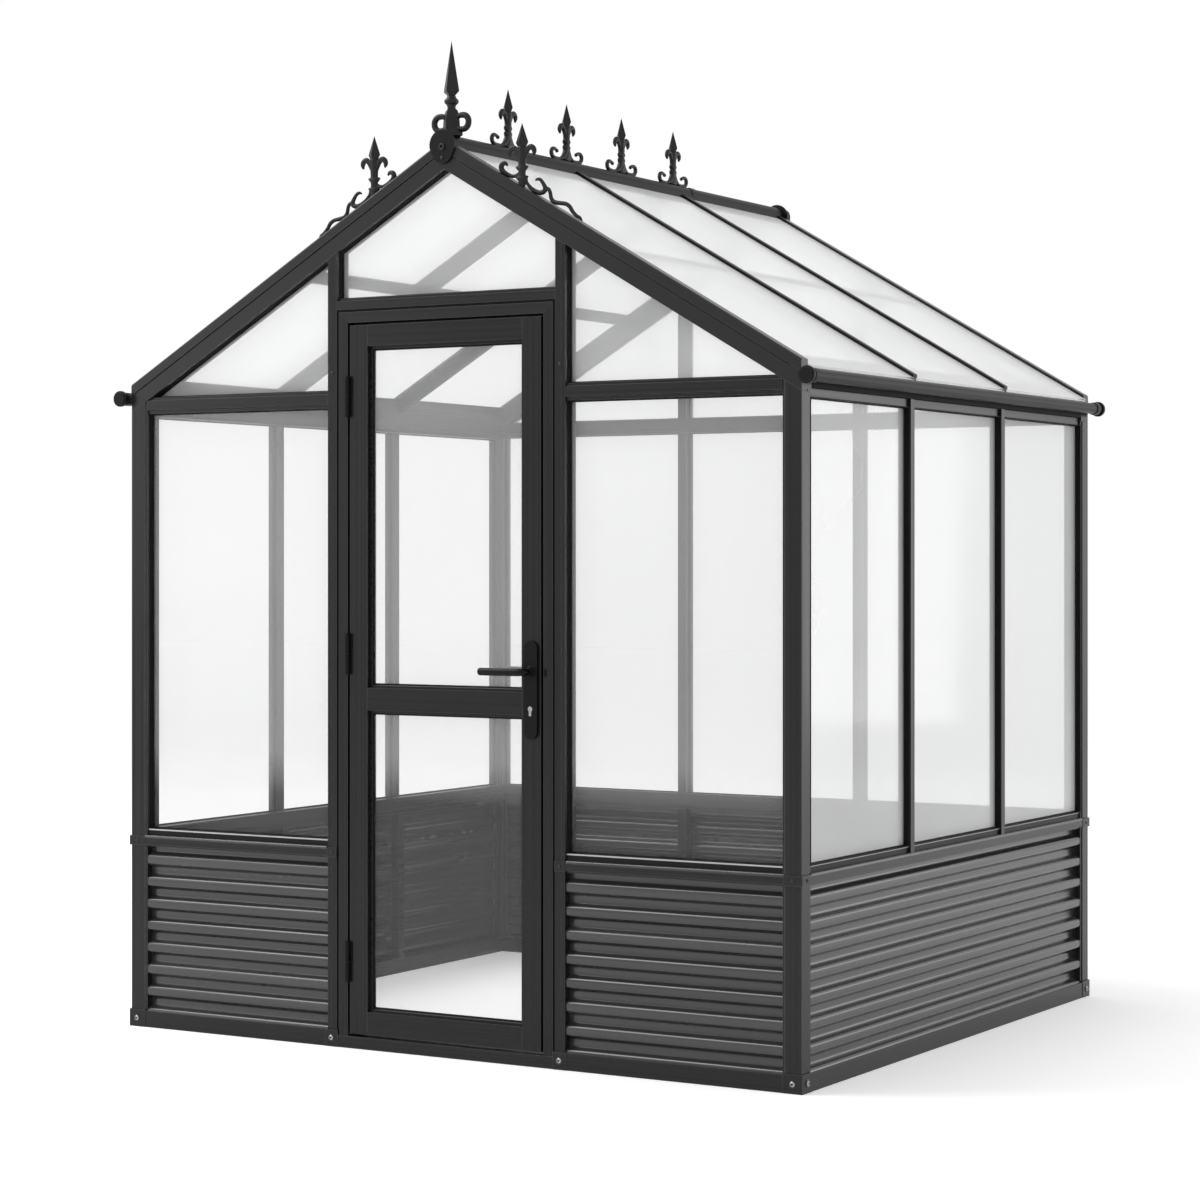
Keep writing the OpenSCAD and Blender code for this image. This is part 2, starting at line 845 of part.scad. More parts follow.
module right_roof_sheets() {
    color(clear) slope_sheets();
}

module left_roof_sheets() {
    color(clear) mirror([1, 0, 0]) slope_sheets();
}

// ---- Roof frame ----

// Rafter of the front right slope: rounded cap band, groove, flat band, and the sheets' seats
module rafter() {
    band_d = post_step - rafter_band_step;
    groove_d = post_step + rafter_groove;
    groove_low = -rafter_band_h - rafter_groove;
    difference() {
        intersection() {
            on_front() on_slope() translate([-rafter_h, 0, 0]) rail(0, rafter_l + 2 * rafter_h, [
                for (a = [0 : 15 : 90])
                    [band_d + round_r - round_r * sin(a), round_r * cos(a) - round_r],
                [band_d, -rafter_band_h], [groove_d, -rafter_band_h],
                [groove_d, groove_low], [post_step, groove_low],
                [post_step, -rafter_h], [gable_pane_set, -rafter_h],
                [gable_pane_set, pane_lap - rafter_h], [gable_pane_set + pane_t, pane_lap - rafter_h],
                [gable_pane_set + pane_t, -rafter_h], [frame_d, -rafter_h],
                [frame_d, -sheet_under], [rafter_ledge, -sheet_under], [rafter_ledge, 0]
            ]);
            block([0, -far, 0], [face_x, 0, far]);
        }
        block([-1, -far, ridge_under_z], [ridge_r, far, far]);
    }
}

module front_rafters() {
    color(frame_grey) both_sides() rafter();
}

module rear_rafters() {
    color(frame_grey) both_sides() mirror([0, 1, 0]) rafter();
}

// A roof bar of the right slope: cap and web down to the eave, body between wing and wall plate
module roof_bar(y) {
    half = bar_w / 2;
    translate([0, y, 0]) {
        intersection() {
            on_slope() union() {
                block([0, -half, -cap_t], [far, half, 0]);
                block([0, -bar_web_w / 2, -sheet_under], [far, bar_web_w / 2, -cap_t]);
            }
            block([ridge_r, -far, 0], [face_x + gutter_gap, far, far]);
        }
        intersection() {
            on_slope() block([0, -half, -sheet_under - bar_h], [far, half, -sheet_under]);
            block([wing_x, -far, 0], [room_x, far, far]);
        }
    }
}

module roof_bars() {
    color(frame_grey) both_sides()
        for (i = [1 : side_bays - 1])
            roof_bar(mullion_y(i));
}

// Purlins at mid slope, between the rafters and the bars
module slope_purlins() {
    mid = rafter_l / 2;
    on_slope() difference() {
        block([mid - purlin_w / 2, -room_y, -sheet_under - purlin_h],
            [mid + purlin_w / 2, room_y, -sheet_under]);
        for (i = [1 : side_bays - 1])
            block([0, mullion_y(i) - bar_w / 2, -far], [far, mullion_y(i) + bar_w / 2, far]);
    }
}

module purlins() {
    color(frame_grey) both_sides() slope_purlins();
}

// Ridge beam: body with a rounded, flat-topped cap, and wings under the sheets
module ridge_section(grow) {
    intersection() {
        union() {
            translate([0, ridge_round_z]) circle(r = ridge_r + grow, $fn = 96);
            translate([-ridge_r - grow, ridge_under_z])
                square([2 * (ridge_r + grow), ridge_body_h]);
        }
        translate([-far, 0]) square([2 * far, ridge_top_z + grow]);
    }
}

module along_ridge(y0, y1) {
    translate([0, y1, 0]) rotate([90, 0, 0]) linear_extrude(y1 - y0) children();
}

module ridge_beam() {
    color(frame_grey) {
        along_ridge(-face_y, ridge_back_y) ridge_section(0);
        both_sides() intersection() {
            on_slope() block([0, -room_y, -sheet_under - wing_t], [far, room_y, -sheet_under]);
            block([ridge_r, -far, 0], [wing_x, far, far]);
        }
        intersection() {
            along_ridge(collar_y - collar_l / 2, collar_y + collar_l / 2) ridge_section(collar_t);
            block([-far, -far, roof_z(ridge_r, 0) + collar_t], [far, far, far]);
        }
    }
}

// Boss plate over the meeting point of the rafters, on their rounded bands
module boss_plate() {
    translate([0, -face_y - rafter_band_step, ridge_top_z - boss_drop]) rotate([90, 0, 0]) {
        cylinder(r = boss_r, h = boss_t, $fn = 96);
        translate([0, -chin_drop, 0]) cylinder(r = chin_r, h = boss_t, $fn = 64);
    }
}

module gable_bosses() {
    color(frame_grey) {
        boss_plate();
        difference() {
            mirror([0, 1, 0]) boss_plate();
            along_ridge(0, far) ridge_section(0);
        }
    }
}

// ---- Gutters ----

// Gutter tube with stepped end caps, a collar near each end, and the web to the wall plate
module gutter() {
    half = face_y + gutter_over;
    web = gutter_web_h / 2;
    translate([gutter_x, 0, gutter_z]) {
        rotate([90, 0, 0]) cylinder(r = gutter_r, h = 2 * half, center = true);
        both_ends() translate([0, -half, 0]) rotate([90, 0, 0]) {
            cylinder(r = gutter_cap_r, h = gutter_cap_l - gutter_cap_step);
            cylinder(r = gutter_cap_r - gutter_cap_step, h = gutter_cap_l);
        }
        both_ends() translate([0, gutter_collar_set - half, 0]) rotate([-90, 0, 0])
            cylinder(r = gutter_r + gutter_collar_t, h = gutter_collar_l);
    }
    block([face_x, -face_y, gutter_z - web], [gutter_x, face_y, gutter_z + web]);
}

module gutters() {
    color(frame_grey) both_sides() gutter();
}

// ---- Door frame ----

// Header over the door, with a bead along its top and a groove for the gable sheet
module header_bar(x0, x1) {
    difference() {
        rail(x0, x1, [
            [post_step, header_z], [post_step, header_top_z - header_bead_h],
            [rail_set, header_top_z - header_bead_h], [rail_set, header_top_z],
            [frame_d, header_top_z], [frame_d, header_z]
        ]);
        block([x0 - 1, gable_pane_set, header_top_z - pane_lap],
            [x1 + 1, gable_pane_set + pane_t, header_top_z + 1]);
    }
}

module door_header() {
    color(frame_grey) on_front() header_bar(-door_post_x, door_post_x);
}

// Outline of the door frame: distance out from its inner edge, then depth
frame_outline = [
    [0, post_step], [door_frame_w, post_step], [door_frame_w, post_step + door_groove_d],
    [frame_profile_w, post_step + door_groove_d], [frame_profile_w, frame_d], [-stop_w, frame_d],
    [-stop_w, frame_d - stop_t], [0, frame_d - stop_t]
];

// The corner of the frame's inner edge, and the mitre line through it
module below_mitre() {
    slab(-1, frame_d + 1, [
        [0, head_z - jamb_x], [far, head_z - jamb_x + far], [far, 0], [0, 0]
    ]);
}

module door_jambs() {
    color(frame_grey) on_front() both_sides() intersection() {
        translate([jamb_x, 0, threshold_h]) linear_extrude(far) polygon(frame_outline);
        below_mitre();
        block([0, 0, 0], [far, far, header_z]);
    }
}

module door_head() {
    color(frame_grey) on_front() difference() {
        translate([0, 0, head_z])
            rail(-door_post_x, door_post_x, [for (p = frame_outline) [p[1], p[0]]]);
        both_sides() below_mitre();
    }
}

// ---- Door ----

module leaf_openings(inset) {
    x = leaf_w / 2 - stile_w - inset;
    top = leaf_top_z - top_rail_h;
    block([-x, -far, leaf_z + bottom_rail_h + inset], [x, far, mid_rail_z - inset]);
    block([-x, -far, mid_rail_z + mid_rail_h + inset], [x, far, top - inset]);
}

module door_leaf() {
    bead0 = post_step + door_bead_set;
    bead1 = leaf_back - door_bead_set;
    mid = (bead0 + bead1) / 2;
    color(frame_grey) on_front() difference() {
        block([-leaf_w / 2, post_step, leaf_z], [leaf_w / 2, leaf_back, leaf_top_z]);
        intersection() {
            leaf_openings(0);
            union() {
                block([-far, 0, 0], [far, bead0, far]);
                block([-far, bead1, 0], [far, far, far]);
            }
        }
        leaf_openings(door_bead_w);
        intersection() {
            leaf_openings(door_bead_w - pane_lap);
            block([-far, mid - pane_t / 2, 0], [far, mid + pane_t / 2, far]);
        }
        translate([lever_x, 0, lever_z]) rotate([-90, 0, 0]) cylinder(r = spindle_r + pin_play, h = far);
    }
}

module door_sheets() {
    mid = post_step + leaf_t / 2;
    color(clear) on_front() intersection() {
        leaf_openings(door_bead_w - pane_lap);
        block([-far, mid - pane_t / 2, 0], [far, mid + pane_t / 2, far]);
    }
}

hinge_heights = [low_hinge_z, mid_hinge_z, high_hinge_z];

// Lower halves on the frame, with the pins
module hinge_pins() {
    color(cast_black) on_front()
        for (z = hinge_heights)
            translate([hinge_x, hinge_d, z - hinge_h / 2]) {
                cylinder(r = knuckle_r, h = hinge_h / 2);
                cylinder(r = pin_r, h = hinge_h + 2);
                translate([-flag_w, knuckle_r - flag_t, 0]) cube([flag_w, flag_t, hinge_h / 2]);
            }
}

// Upper halves on the leaf, with the bores
module hinge_knuckles() {
    upper = hinge_h / 2 - knuckle_gap;
    color(cast_black) on_front()
        for (z = hinge_heights)
            translate([hinge_x, hinge_d, z + knuckle_gap]) difference() {
                union() {
                    cylinder(r = knuckle_r, h = upper);
                    translate([0, knuckle_r - flag_t, 0]) cube([flag_w, flag_t, upper]);
                }
                translate([0, 0, -1]) cylinder(r = pin_r + pin_play, h = hinge_h);
            }
}

// A lock plate with round ends, standing on the face at depth 0 and rising to plate_t
module lock_plate(width) {
    low = plate_top - plate_h;
    translate([lever_x, 0, lever_z]) rotate([90, 0, 0]) difference() {
        union() {
            for (z = [low + width / 2, plate_top - width / 2])
                translate([0, z, 0]) cylinder(d = width, h = plate_t);
            translate([-width / 2, low + width / 2, 0]) cube([width, plate_h - width, plate_t]);
        }
        translate([0, 0, -1]) cylinder(r = spindle_r + pin_play, h = plate_t + 2);
    }
}

module lock_plates() {
    color(cast_black) on_front() {
        translate([0, post_step, 0]) lock_plate(outer_plate_w);
        translate([0, leaf_back + plate_t, 0]) lock_plate(inner_plate_w);
    }
}

// One lever, its hub rising along -Y from depth 0
module lever_arm() {
    rotate([90, 0, 0]) cylinder(r = grip_r, h = lever_out);
    translate([0, -plate_t - hub_gap, 0]) rotate([90, 0, 0])
        cylinder(r = grip_r + hub_rim, h = hub_l);
    translate([0, -lever_out, 0]) {
        sphere(r = grip_r);
        rotate([0, -90, 0]) cylinder(r = grip_r, h = lever_l - grip_r);
        translate([grip_r - lever_l, 0, 0]) sphere(r = grip_r);
    }
}

module door_lever() {
    start = plate_t + hub_gap;
    color(cast_black) on_front() translate([lever_x, 0, lever_z]) {
        translate([0, leaf_back + start, 0]) rotate([90, 0, 0])
            cylinder(r = spindle_r, h = leaf_t + 2 * start);
        difference() {
            union() {
                translate([0, post_step, 0]) lever_arm();
                translate([0, leaf_back, 0]) mirror([0, 1, 0]) lever_arm();
            }
            block([-far, post_step - start, -far], [far, leaf_back + start, far]);
        }
    }
}

// ---- Cleats ----

module corner_cleat(arm, z0, height) {
    half_w = house_w / 2;
    half_l = house_l / 2;
    block([half_w - arm, -half_l, z0], [half_w, cleat_t - half_l, z0 + height]);
    block([half_w - cleat_t, -half_l, z0], [half_w, arm - half_l, z0 + height]);
}

module frame_cleats() {
    belt_low = band_z + belt_band_h / 2 - belt_cleat_h / 2;
    color(frame_grey) {
        both_sides() both_ends() {
            corner_cleat(base_cleat_l, 0, base_cleat_h);
            corner_cleat(belt_cleat_l, belt_low, belt_cleat_h);
        }
        on_front() both_sides() {
            mid = door_post_x + door_post_w / 2;
            block([mid - foot_plate_w / 2, 0, 0], [mid + foot_plate_w / 2, cleat_t, base_h]);
            block([door_post_x, 0, belt_low], [door_post_out, cleat_t, belt_low + belt_cleat_h]);
        }
    }
}

// ---- Cresting, drawn in the XZ plane on Z = 0 ----

// A four-sided spear head with its tip at height h, widest a little above its neck
module spear(h, head_h, head_w, shoulder_h, neck_w) {
    low = h - head_h;
    rotate_extrude($fn = 4) polygon([
        [0, low], [neck_w / 2, low], [head_w / 2, low + shoulder_h], [1, h], [0, h]
    ]);
}

// A turned knob's outline on a stem, with its middle at height z
function knob(z, knob_r, stem_r, half_h) = [
    [stem_r, z - half_h], [knob_r, z - half_h / 4], [knob_r, z + half_h / 4], [stem_r, z + half_h]
];

// A finial's stem with two knobs, spear head and two petals curling down
module finial(knob_zs) {
    neck_z = finial_h - finial_head_h;
    petal_x = finial_stem_r + petal_r * 1.25;
    petal_z = neck_z - petal_r;
    knob_half_h = finial_knob_r * 0.35;
    spear(finial_h, finial_head_h, finial_head_w, knob_half_h * 2, 2 * finial_knob_r - knob_half_h);
    rotate_extrude() polygon(concat(
        [[0, 0], [finial_stem_r, 0]],
        knob(knob_zs[0], finial_knob_r, finial_stem_r, knob_half_h),
        knob(knob_zs[1], finial_knob_r, finial_stem_r, knob_half_h),
        [[finial_stem_r, neck_z + knob_half_h], [0, neck_z + knob_half_h]]
    ));
    both_sides() ribbon(concat(
        shaped(bezier([0.15, -2.15], [0.65, -1.85], [1.1, -1.3], [1.1, -0.25], 4),
            [0, petal_z], [petal_r, petal_r]),
        arc([petal_x, petal_z], petal_r, 180, -35, 12)
    ), petal_t);
}

// The flared foot of a ridge finial, and a scroll on each side of it
module ridge_foot() {
    edge = bezier([finial_stem_r, foot_h], [finial_stem_r * 1.1, foot_h / 2],
        [foot_w / 2, foot_h / 5], [foot_w, 0], 6);
    scroll_x = foot_w + 2 * side_scroll_r;
    seat = scroll_t * 0.65;
    both_sides() {
        translate([0, scroll_t, 0]) rotate([90, 0, 0]) linear_extrude(2 * scroll_t)
            polygon(concat([[0, foot_h]], edge, [[0, 0]]));
        ribbon(concat(
            bezier([foot_w * 0.75, scroll_t], [foot_w, seat],
                [scroll_x - side_scroll_r, seat], [scroll_x - side_scroll_r * 0.3, seat], 5),
            arc([scroll_x, side_scroll_r + seat], side_scroll_r, -80, 150, 12)
        ), scroll_t);
    }
}

module ridge_cresting() {
    color(cast_black)
        for (i = [0 : ridge_finials - 1])
            translate([0, first_finial_y + i * finial_pitch, ridge_top_z]) rotate([0, 0, 90]) {
                finial(ridge_knob_zs);
                ridge_foot();
            }
}

// The spire: a four-sided bell between two loops, a neck with a knob, and a tall spear head
module front_spire() {
    half = spire_bell_w / 2;
    top = spire_h - spire_head_h;
    color(cast_black) translate([0, spire_set - house_l / 2, ridge_top_z]) {
        spear(spire_h, spire_head_h, spire_head_w, 12, 2 * spire_neck_r);
        rotate_extrude($fn = 4) polygon([
            [0, 0], [spire_foot_w / 2, 0], [spire_foot_w / 2, 4], [half + 3, 14], [half, 28],
            [half - 3, spire_bell_h - 16], [half - 8, spire_bell_h - 6],
            [spire_neck_r, spire_bell_h], [0, spire_bell_h]
        ]);
        rotate_extrude() polygon(concat(
            [[0, spire_bell_h - 20], [spire_neck_r, spire_bell_h - 20]],
            knob(spire_knob_z, spire_knob_r, spire_neck_r, 8),
            [[spire_neck_r, top + 4], [0, top + 4]]
        ));
        both_sides() arc_bar([spire_loop_x, spire_loop_z], spire_loop_r, spire_loop_t, -150, 300);
    }
}

// The rafter finial stands upright on the slope, with scrolls that follow it up and down
module rafter_finial() {
    foot_z = roof_z(rafter_finial_x, 0);
    depth = post_step + (rafter_ledge - post_step) / 2;
    below = finial_stem_r * slope + 1;
    on_front() translate([0, depth, 0]) difference() {
        union() {
            translate([rafter_finial_x, 0, foot_z]) {
                finial(rafter_knob_zs);
                translate([0, 0, -below]) cylinder(r = finial_stem_r, h = below);
            }
            on_slope() translate([rafter_finial_x / cos(roof_pitch), 0, 0]) rafter_scrolls();
        }
        translate([0, -far / 2, 0]) under_roof(0, 0, far);
    }
}

// Scrolls in the slope's coordinates: a curl up the slope, an oval one and a tendril down it
module rafter_scrolls() {
    seat = scroll_t / 2;
    ribbon(concat(
        shaped(bezier([-0.33, 0.4], [-0.42, 0.07], [-0.67, 0], [-0.94, 0], 8),
            [0, seat], [curl_l, curl_l]),
        arc([-curl_l, curl_r + seat], curl_r, -100, -300, 12)
    ), scroll_t);
    oval = concat(
        bezier([-0.08, 0.23], [0.03, 0.06], [0.31, 0], [0.58, 0], 8),
        bezier([0.64, 0.01], [0.92, 0.03], [1.06, 0.2], [0.92, 0.37], 8)
    );
    ribbon(shaped(concat(oval, bezier([0.88, 0.41], [0.75, 0.51], [0.53, 0.58], [0.39, 0.42], 6)),
        [0, seat], [oval_l, oval_l]), scroll_t);
    ribbon(shaped(concat(
        bezier([0, 0], [0.13, 0.04], [0.11, -0.22], [0.23, -0.28], 8),
        bezier([0.26, -0.29], [0.34, -0.31], [0.43, -0.14], [0.53, -0.15], 8),
        bezier([0.56, -0.16], [0.66, -0.18], [0.69, -0.29], [0.8, -0.31], 8),
        bezier([0.83, -0.31], [0.91, -0.32], [0.96, -0.36], [1, -0.4], 5)
    ), [0, seat] + oval_l * oval[len(oval) - 1], [tendril_l, oval_l]), scroll_t);
}

module rafter_cresting() {
    color(cast_black) both_sides() rafter_finial();
}

front_base_rail();
rear_base_rail();
side_base_rails();
corner_posts();
door_posts();
door_jambs();
door_head();
door_header();
front_transoms();
rear_transom();
wall_plates();
front_belt_rails();
rear_belt_rail();
side_belt_rails();
front_knee_panels();
rear_knee_panel();
left_knee_panel();
right_knee_panel();
knee_studs();
side_mullions();
rear_mullions();
front_windows();
rear_windows();
left_windows();
right_windows();
front_gable_sheets();
rear_gable_sheets();
left_roof_sheets();
right_roof_sheets();
front_rafters();
rear_rafters();
roof_bars();
purlins();
ridge_beam();
gable_bosses();
gutters();
frame_cleats();
front_spire();
ridge_cresting();
rafter_cresting();
hinge_pins();
door_leaf();
door_sheets();
hinge_knuckles();
lock_plates();
door_lever();
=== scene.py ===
# Greenhouse with a metal frame and clear sheets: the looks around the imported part.
# Metres throughout. +X right, -Y the door side, +Z up, and the ground is Z = 0.
import math
import bpy
import bmesh
from mathutils import Matrix, Vector


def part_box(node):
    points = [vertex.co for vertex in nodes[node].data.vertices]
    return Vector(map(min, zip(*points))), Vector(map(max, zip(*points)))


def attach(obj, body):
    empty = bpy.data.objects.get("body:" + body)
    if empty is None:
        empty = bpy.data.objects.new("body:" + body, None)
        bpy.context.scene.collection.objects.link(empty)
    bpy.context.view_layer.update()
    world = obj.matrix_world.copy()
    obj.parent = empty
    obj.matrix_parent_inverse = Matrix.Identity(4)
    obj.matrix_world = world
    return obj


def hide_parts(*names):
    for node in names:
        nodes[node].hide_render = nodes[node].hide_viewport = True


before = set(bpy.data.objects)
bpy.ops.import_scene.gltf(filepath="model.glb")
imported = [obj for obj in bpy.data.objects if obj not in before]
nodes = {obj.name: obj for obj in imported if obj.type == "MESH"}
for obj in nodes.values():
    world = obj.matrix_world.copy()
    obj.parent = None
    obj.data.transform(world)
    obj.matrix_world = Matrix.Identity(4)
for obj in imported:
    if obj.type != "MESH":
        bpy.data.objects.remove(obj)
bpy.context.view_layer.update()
scene = bpy.context.scene
mm = 0.001
print("frame loaded:", len(nodes), "nodes")


# Small helpers for objects and settings

def addObject(name, data):
    added = bpy.data.objects.new(name, data)
    scene.collection.objects.link(added)
    return added


def meshFrom(name, bm):
    mesh = bpy.data.meshes.new(name)
    bm.to_mesh(mesh)
    bm.free()
    return mesh


def pick(settings, *names):
    return [settings[name] for name in names]


# Camera

cameraSettings = {
    "lens": 88.15,
    "place": (4.270, -7.339, 1.302),
    "turn": 30.69,  # degrees left of looking along +Y
    "shiftY": -0.0339,
}


def makeCamera(settings):
    data = bpy.data.cameras.new("viewCamera")
    data.lens = settings["lens"]
    data.shift_y = settings["shiftY"]
    data.clip_end = 100
    camera = addObject("viewCamera", data)
    camera.location = settings["place"]
    camera.rotation_euler = (math.pi / 2, 0, math.radians(settings["turn"]))
    scene.camera = camera


makeCamera(cameraSettings)


# Small helpers for node trees

def setSocket(tree, socket, value):
    if isinstance(value, bpy.types.NodeSocket):
        tree.links.new(value, socket)
    else:
        socket.default_value = value


def setSockets(tree, sockets, values):
    for key, value in values.items():
        setSocket(tree, sockets[key], value)


def put(tree, kind, inputs=None, **settings):
    node = tree.nodes.new(kind)
    for key, value in settings.items():
        setattr(node, key, value)
    setSockets(tree, node.inputs, inputs or {})
    return node


def maths(tree, operation, *values):
    return put(tree, "ShaderNodeMath", dict(enumerate(values)), operation=operation).outputs[0]


def spread(tree, value, low, high, toLow, toHigh):
    return put(tree, "ShaderNodeMapRange", {
        "Value": value, "From Min": low, "From Max": high,
        "To Min": toLow, "To Max": toHigh}).outputs["Result"]


def noise(tree, place, scale, detail=2.0, roughness=0.5):
    return put(tree, "ShaderNodeTexNoise", {
        "Vector": place, "Scale": scale, "Detail": detail, "Roughness": roughness}).outputs["Fac"]


def blendColor(tree, mask, first, second):
    return put(tree, "ShaderNodeMix", {0: mask, 6: first, 7: second}, data_type="RGBA").outputs[2]


def toneColor(tree, color, swing):
    tone = maths(tree, "MULTIPLY_ADD", swing, 4.0, 1.0)
    return put(tree, "ShaderNodeVectorMath", {0: color, "Scale": tone}, operation="SCALE").outputs[0]


def objectPlace(tree):
    return put(tree, "ShaderNodeTexCoord").outputs["Object"]


def facingUp(tree):
    normal = put(tree, "ShaderNodeNewGeometry").outputs["Normal"]
    return put(tree, "ShaderNodeSeparateXYZ", {0: normal}).outputs["Z"]


def newGroup(name, inputs, outputs, treeKind="ShaderNodeTree"):
    tree = bpy.data.node_groups.new(name, treeKind)
    for label, kind, value in inputs:
        socket = tree.interface.new_socket(label, in_out="INPUT", socket_type="NodeSocket" + kind)
        if value is not None:
            socket.default_value = value
    for label, kind in outputs:
        tree.interface.new_socket(label, in_out="OUTPUT", socket_type="NodeSocket" + kind)
    return tree, tree.nodes.new("NodeGroupInput").outputs, tree.nodes.new("NodeGroupOutput").inputs


def useGroup(tree, group, inputs):
    return put(tree, "ShaderNodeGroup", inputs, node_tree=group).outputs


def grey(value):
    return (value, value, value, 1)


def darker(color, share):
    return tuple(c * share for c in color[:3]) + (1,)


# Effects that several materials share

def powderGrainGroup():
    tree, given, out = newGroup(
        "powderGrain",
        [("Color", "Color", grey(0.03)), ("Roughness", "Float", 0.4),
         ("Grain Scale", "Float", 900.0), ("Mottle", "Float", 0.1)],
        [("Color", "Color"), ("Roughness", "Float"), ("Height", "Float")])
    place = objectPlace(tree)
    fine = noise(tree, place, given["Grain Scale"], 2.0, 0.6)
    broad = noise(tree, place, 4.5, 4.0, 0.55)
    swing = maths(tree, "MULTIPLY", maths(tree, "SUBTRACT", broad, 0.5), given["Mottle"])
    rough = maths(tree, "ADD", given["Roughness"], swing)
    rough = maths(tree, "ADD", rough, maths(tree, "MULTIPLY_ADD", fine, 0.12, -0.06))
    setSockets(tree, out, {
        "Color": toneColor(tree, given["Color"], swing), "Roughness": rough, "Height": fine})
    return tree


# Painted highlight: edges found with the Bevel node turn towards a pale highlight colour, unevenly along
# their length
def paintedEdgeHighlightGroup():
    tree, given, out = newGroup(
        "paintedEdgeHighlight",
        [("Color", "Color", grey(0.03)), ("Edge Highlight Color", "Color", grey(0.1)),
         ("Width", "Float", 0.0015), ("Amount", "Float", 0.6)],
        [("Color", "Color")])
    rounded = put(tree, "ShaderNodeBevel", {"Radius": given["Width"]}, samples=6).outputs[0]
    flat = put(tree, "ShaderNodeNewGeometry").outputs["Normal"]
    turn = put(tree, "ShaderNodeVectorMath", {0: rounded, 1: flat}, operation="DOT_PRODUCT").outputs["Value"]
    edge = spread(tree, turn, 0.995, 0.88, 0.0, 1.0)
    uneven = spread(tree, noise(tree, objectPlace(tree), 22.0, 4.0, 0.6), 0.3, 0.7, 0.55, 1.0)
    mask = maths(tree, "MULTIPLY", maths(tree, "MULTIPLY", edge, uneven), given["Amount"])
    setSocket(tree, out["Color"], blendColor(tree, mask, given["Color"], given["Edge Highlight Color"]))
    return tree


def settledDustGroup():
    tree, given, out = newGroup(
        "settledDust",
        [("Color", "Color", grey(0.03)), ("Dust Color", "Color", grey(0.3)), ("Amount", "Float", 0.1)],
        [("Color", "Color")])
    patches = spread(tree, noise(tree, objectPlace(tree), 14.0, 6.0, 0.62), 0.35, 0.7, 0.2, 1.0)
    lying = maths(tree, "MULTIPLY", spread(tree, facingUp(tree), 0.2, 0.95, 0.0, 1.0), patches)
    mask = maths(tree, "MULTIPLY", lying, given["Amount"])
    setSocket(tree, out["Color"], blendColor(tree, mask, given["Color"], given["Dust Color"]))
    return tree


def drawnStreaksGroup():
    tree, given, out = newGroup(
        "drawnStreaks",
        [("Color", "Color", grey(0.03)), ("Amount", "Float", 0.2), ("Stretch", "Vector", (0.45, 0.45, 34.0))],
        [("Color", "Color"), ("Roughness Shift", "Float")])
    drawn = put(tree, "ShaderNodeMapping", {
        "Vector": objectPlace(tree), "Scale": given["Stretch"]}).outputs[0]
    streak = maths(tree, "SUBTRACT", noise(tree, drawn, 1.0, 0.0, 0.5), 0.5)
    swing = maths(tree, "MULTIPLY", streak, given["Amount"])
    setSockets(tree, out, {"Color": toneColor(tree, given["Color"], swing), "Roughness Shift": swing})
    return tree


def sheetHazeGroup():
    # A white veil on clear sheet whose haze changes with height, from a low haze at a low height to a high
    # haze at a high one
    tree, given, out = newGroup(
        "sheetHaze",
        [("Low Haze", "Float", 0.02), ("High Haze", "Float", 0.15), ("Low Height", "Float", 0.8),
         ("High Height", "Float", 1.45), ("Cloud", "Float", 0.2)],
        [("Haze", "Float"), ("Roughness", "Float"), ("Tint", "Float")])
    place = objectPlace(tree)
    height = put(tree, "ShaderNodeSeparateXYZ", {0: place}).outputs["Z"]
    base = spread(tree, height, *pick(given, "Low Height", "High Height", "Low Haze", "High Haze"))
    cloud = maths(tree, "SUBTRACT", noise(tree, place, 1.6, 2.0, 0.5), 0.5)
    haze = maths(tree, "MULTIPLY", base, maths(tree, "MULTIPLY_ADD", cloud, given["Cloud"], 1.0))
    setSockets(tree, out, {
        "Haze": haze, "Roughness": maths(tree, "MULTIPLY", cloud, 0.05),
        "Tint": spread(tree, cloud, -0.3, 0.3, 0.0, 1.0)})
    return tree


powderGrain = powderGrainGroup()
paintedEdgeHighlight = paintedEdgeHighlightGroup()
settledDust = settledDustGroup()
drawnStreaks = drawnStreaksGroup()
sheetHaze = sheetHazeGroup()
print("shared effects ready")


# Materials

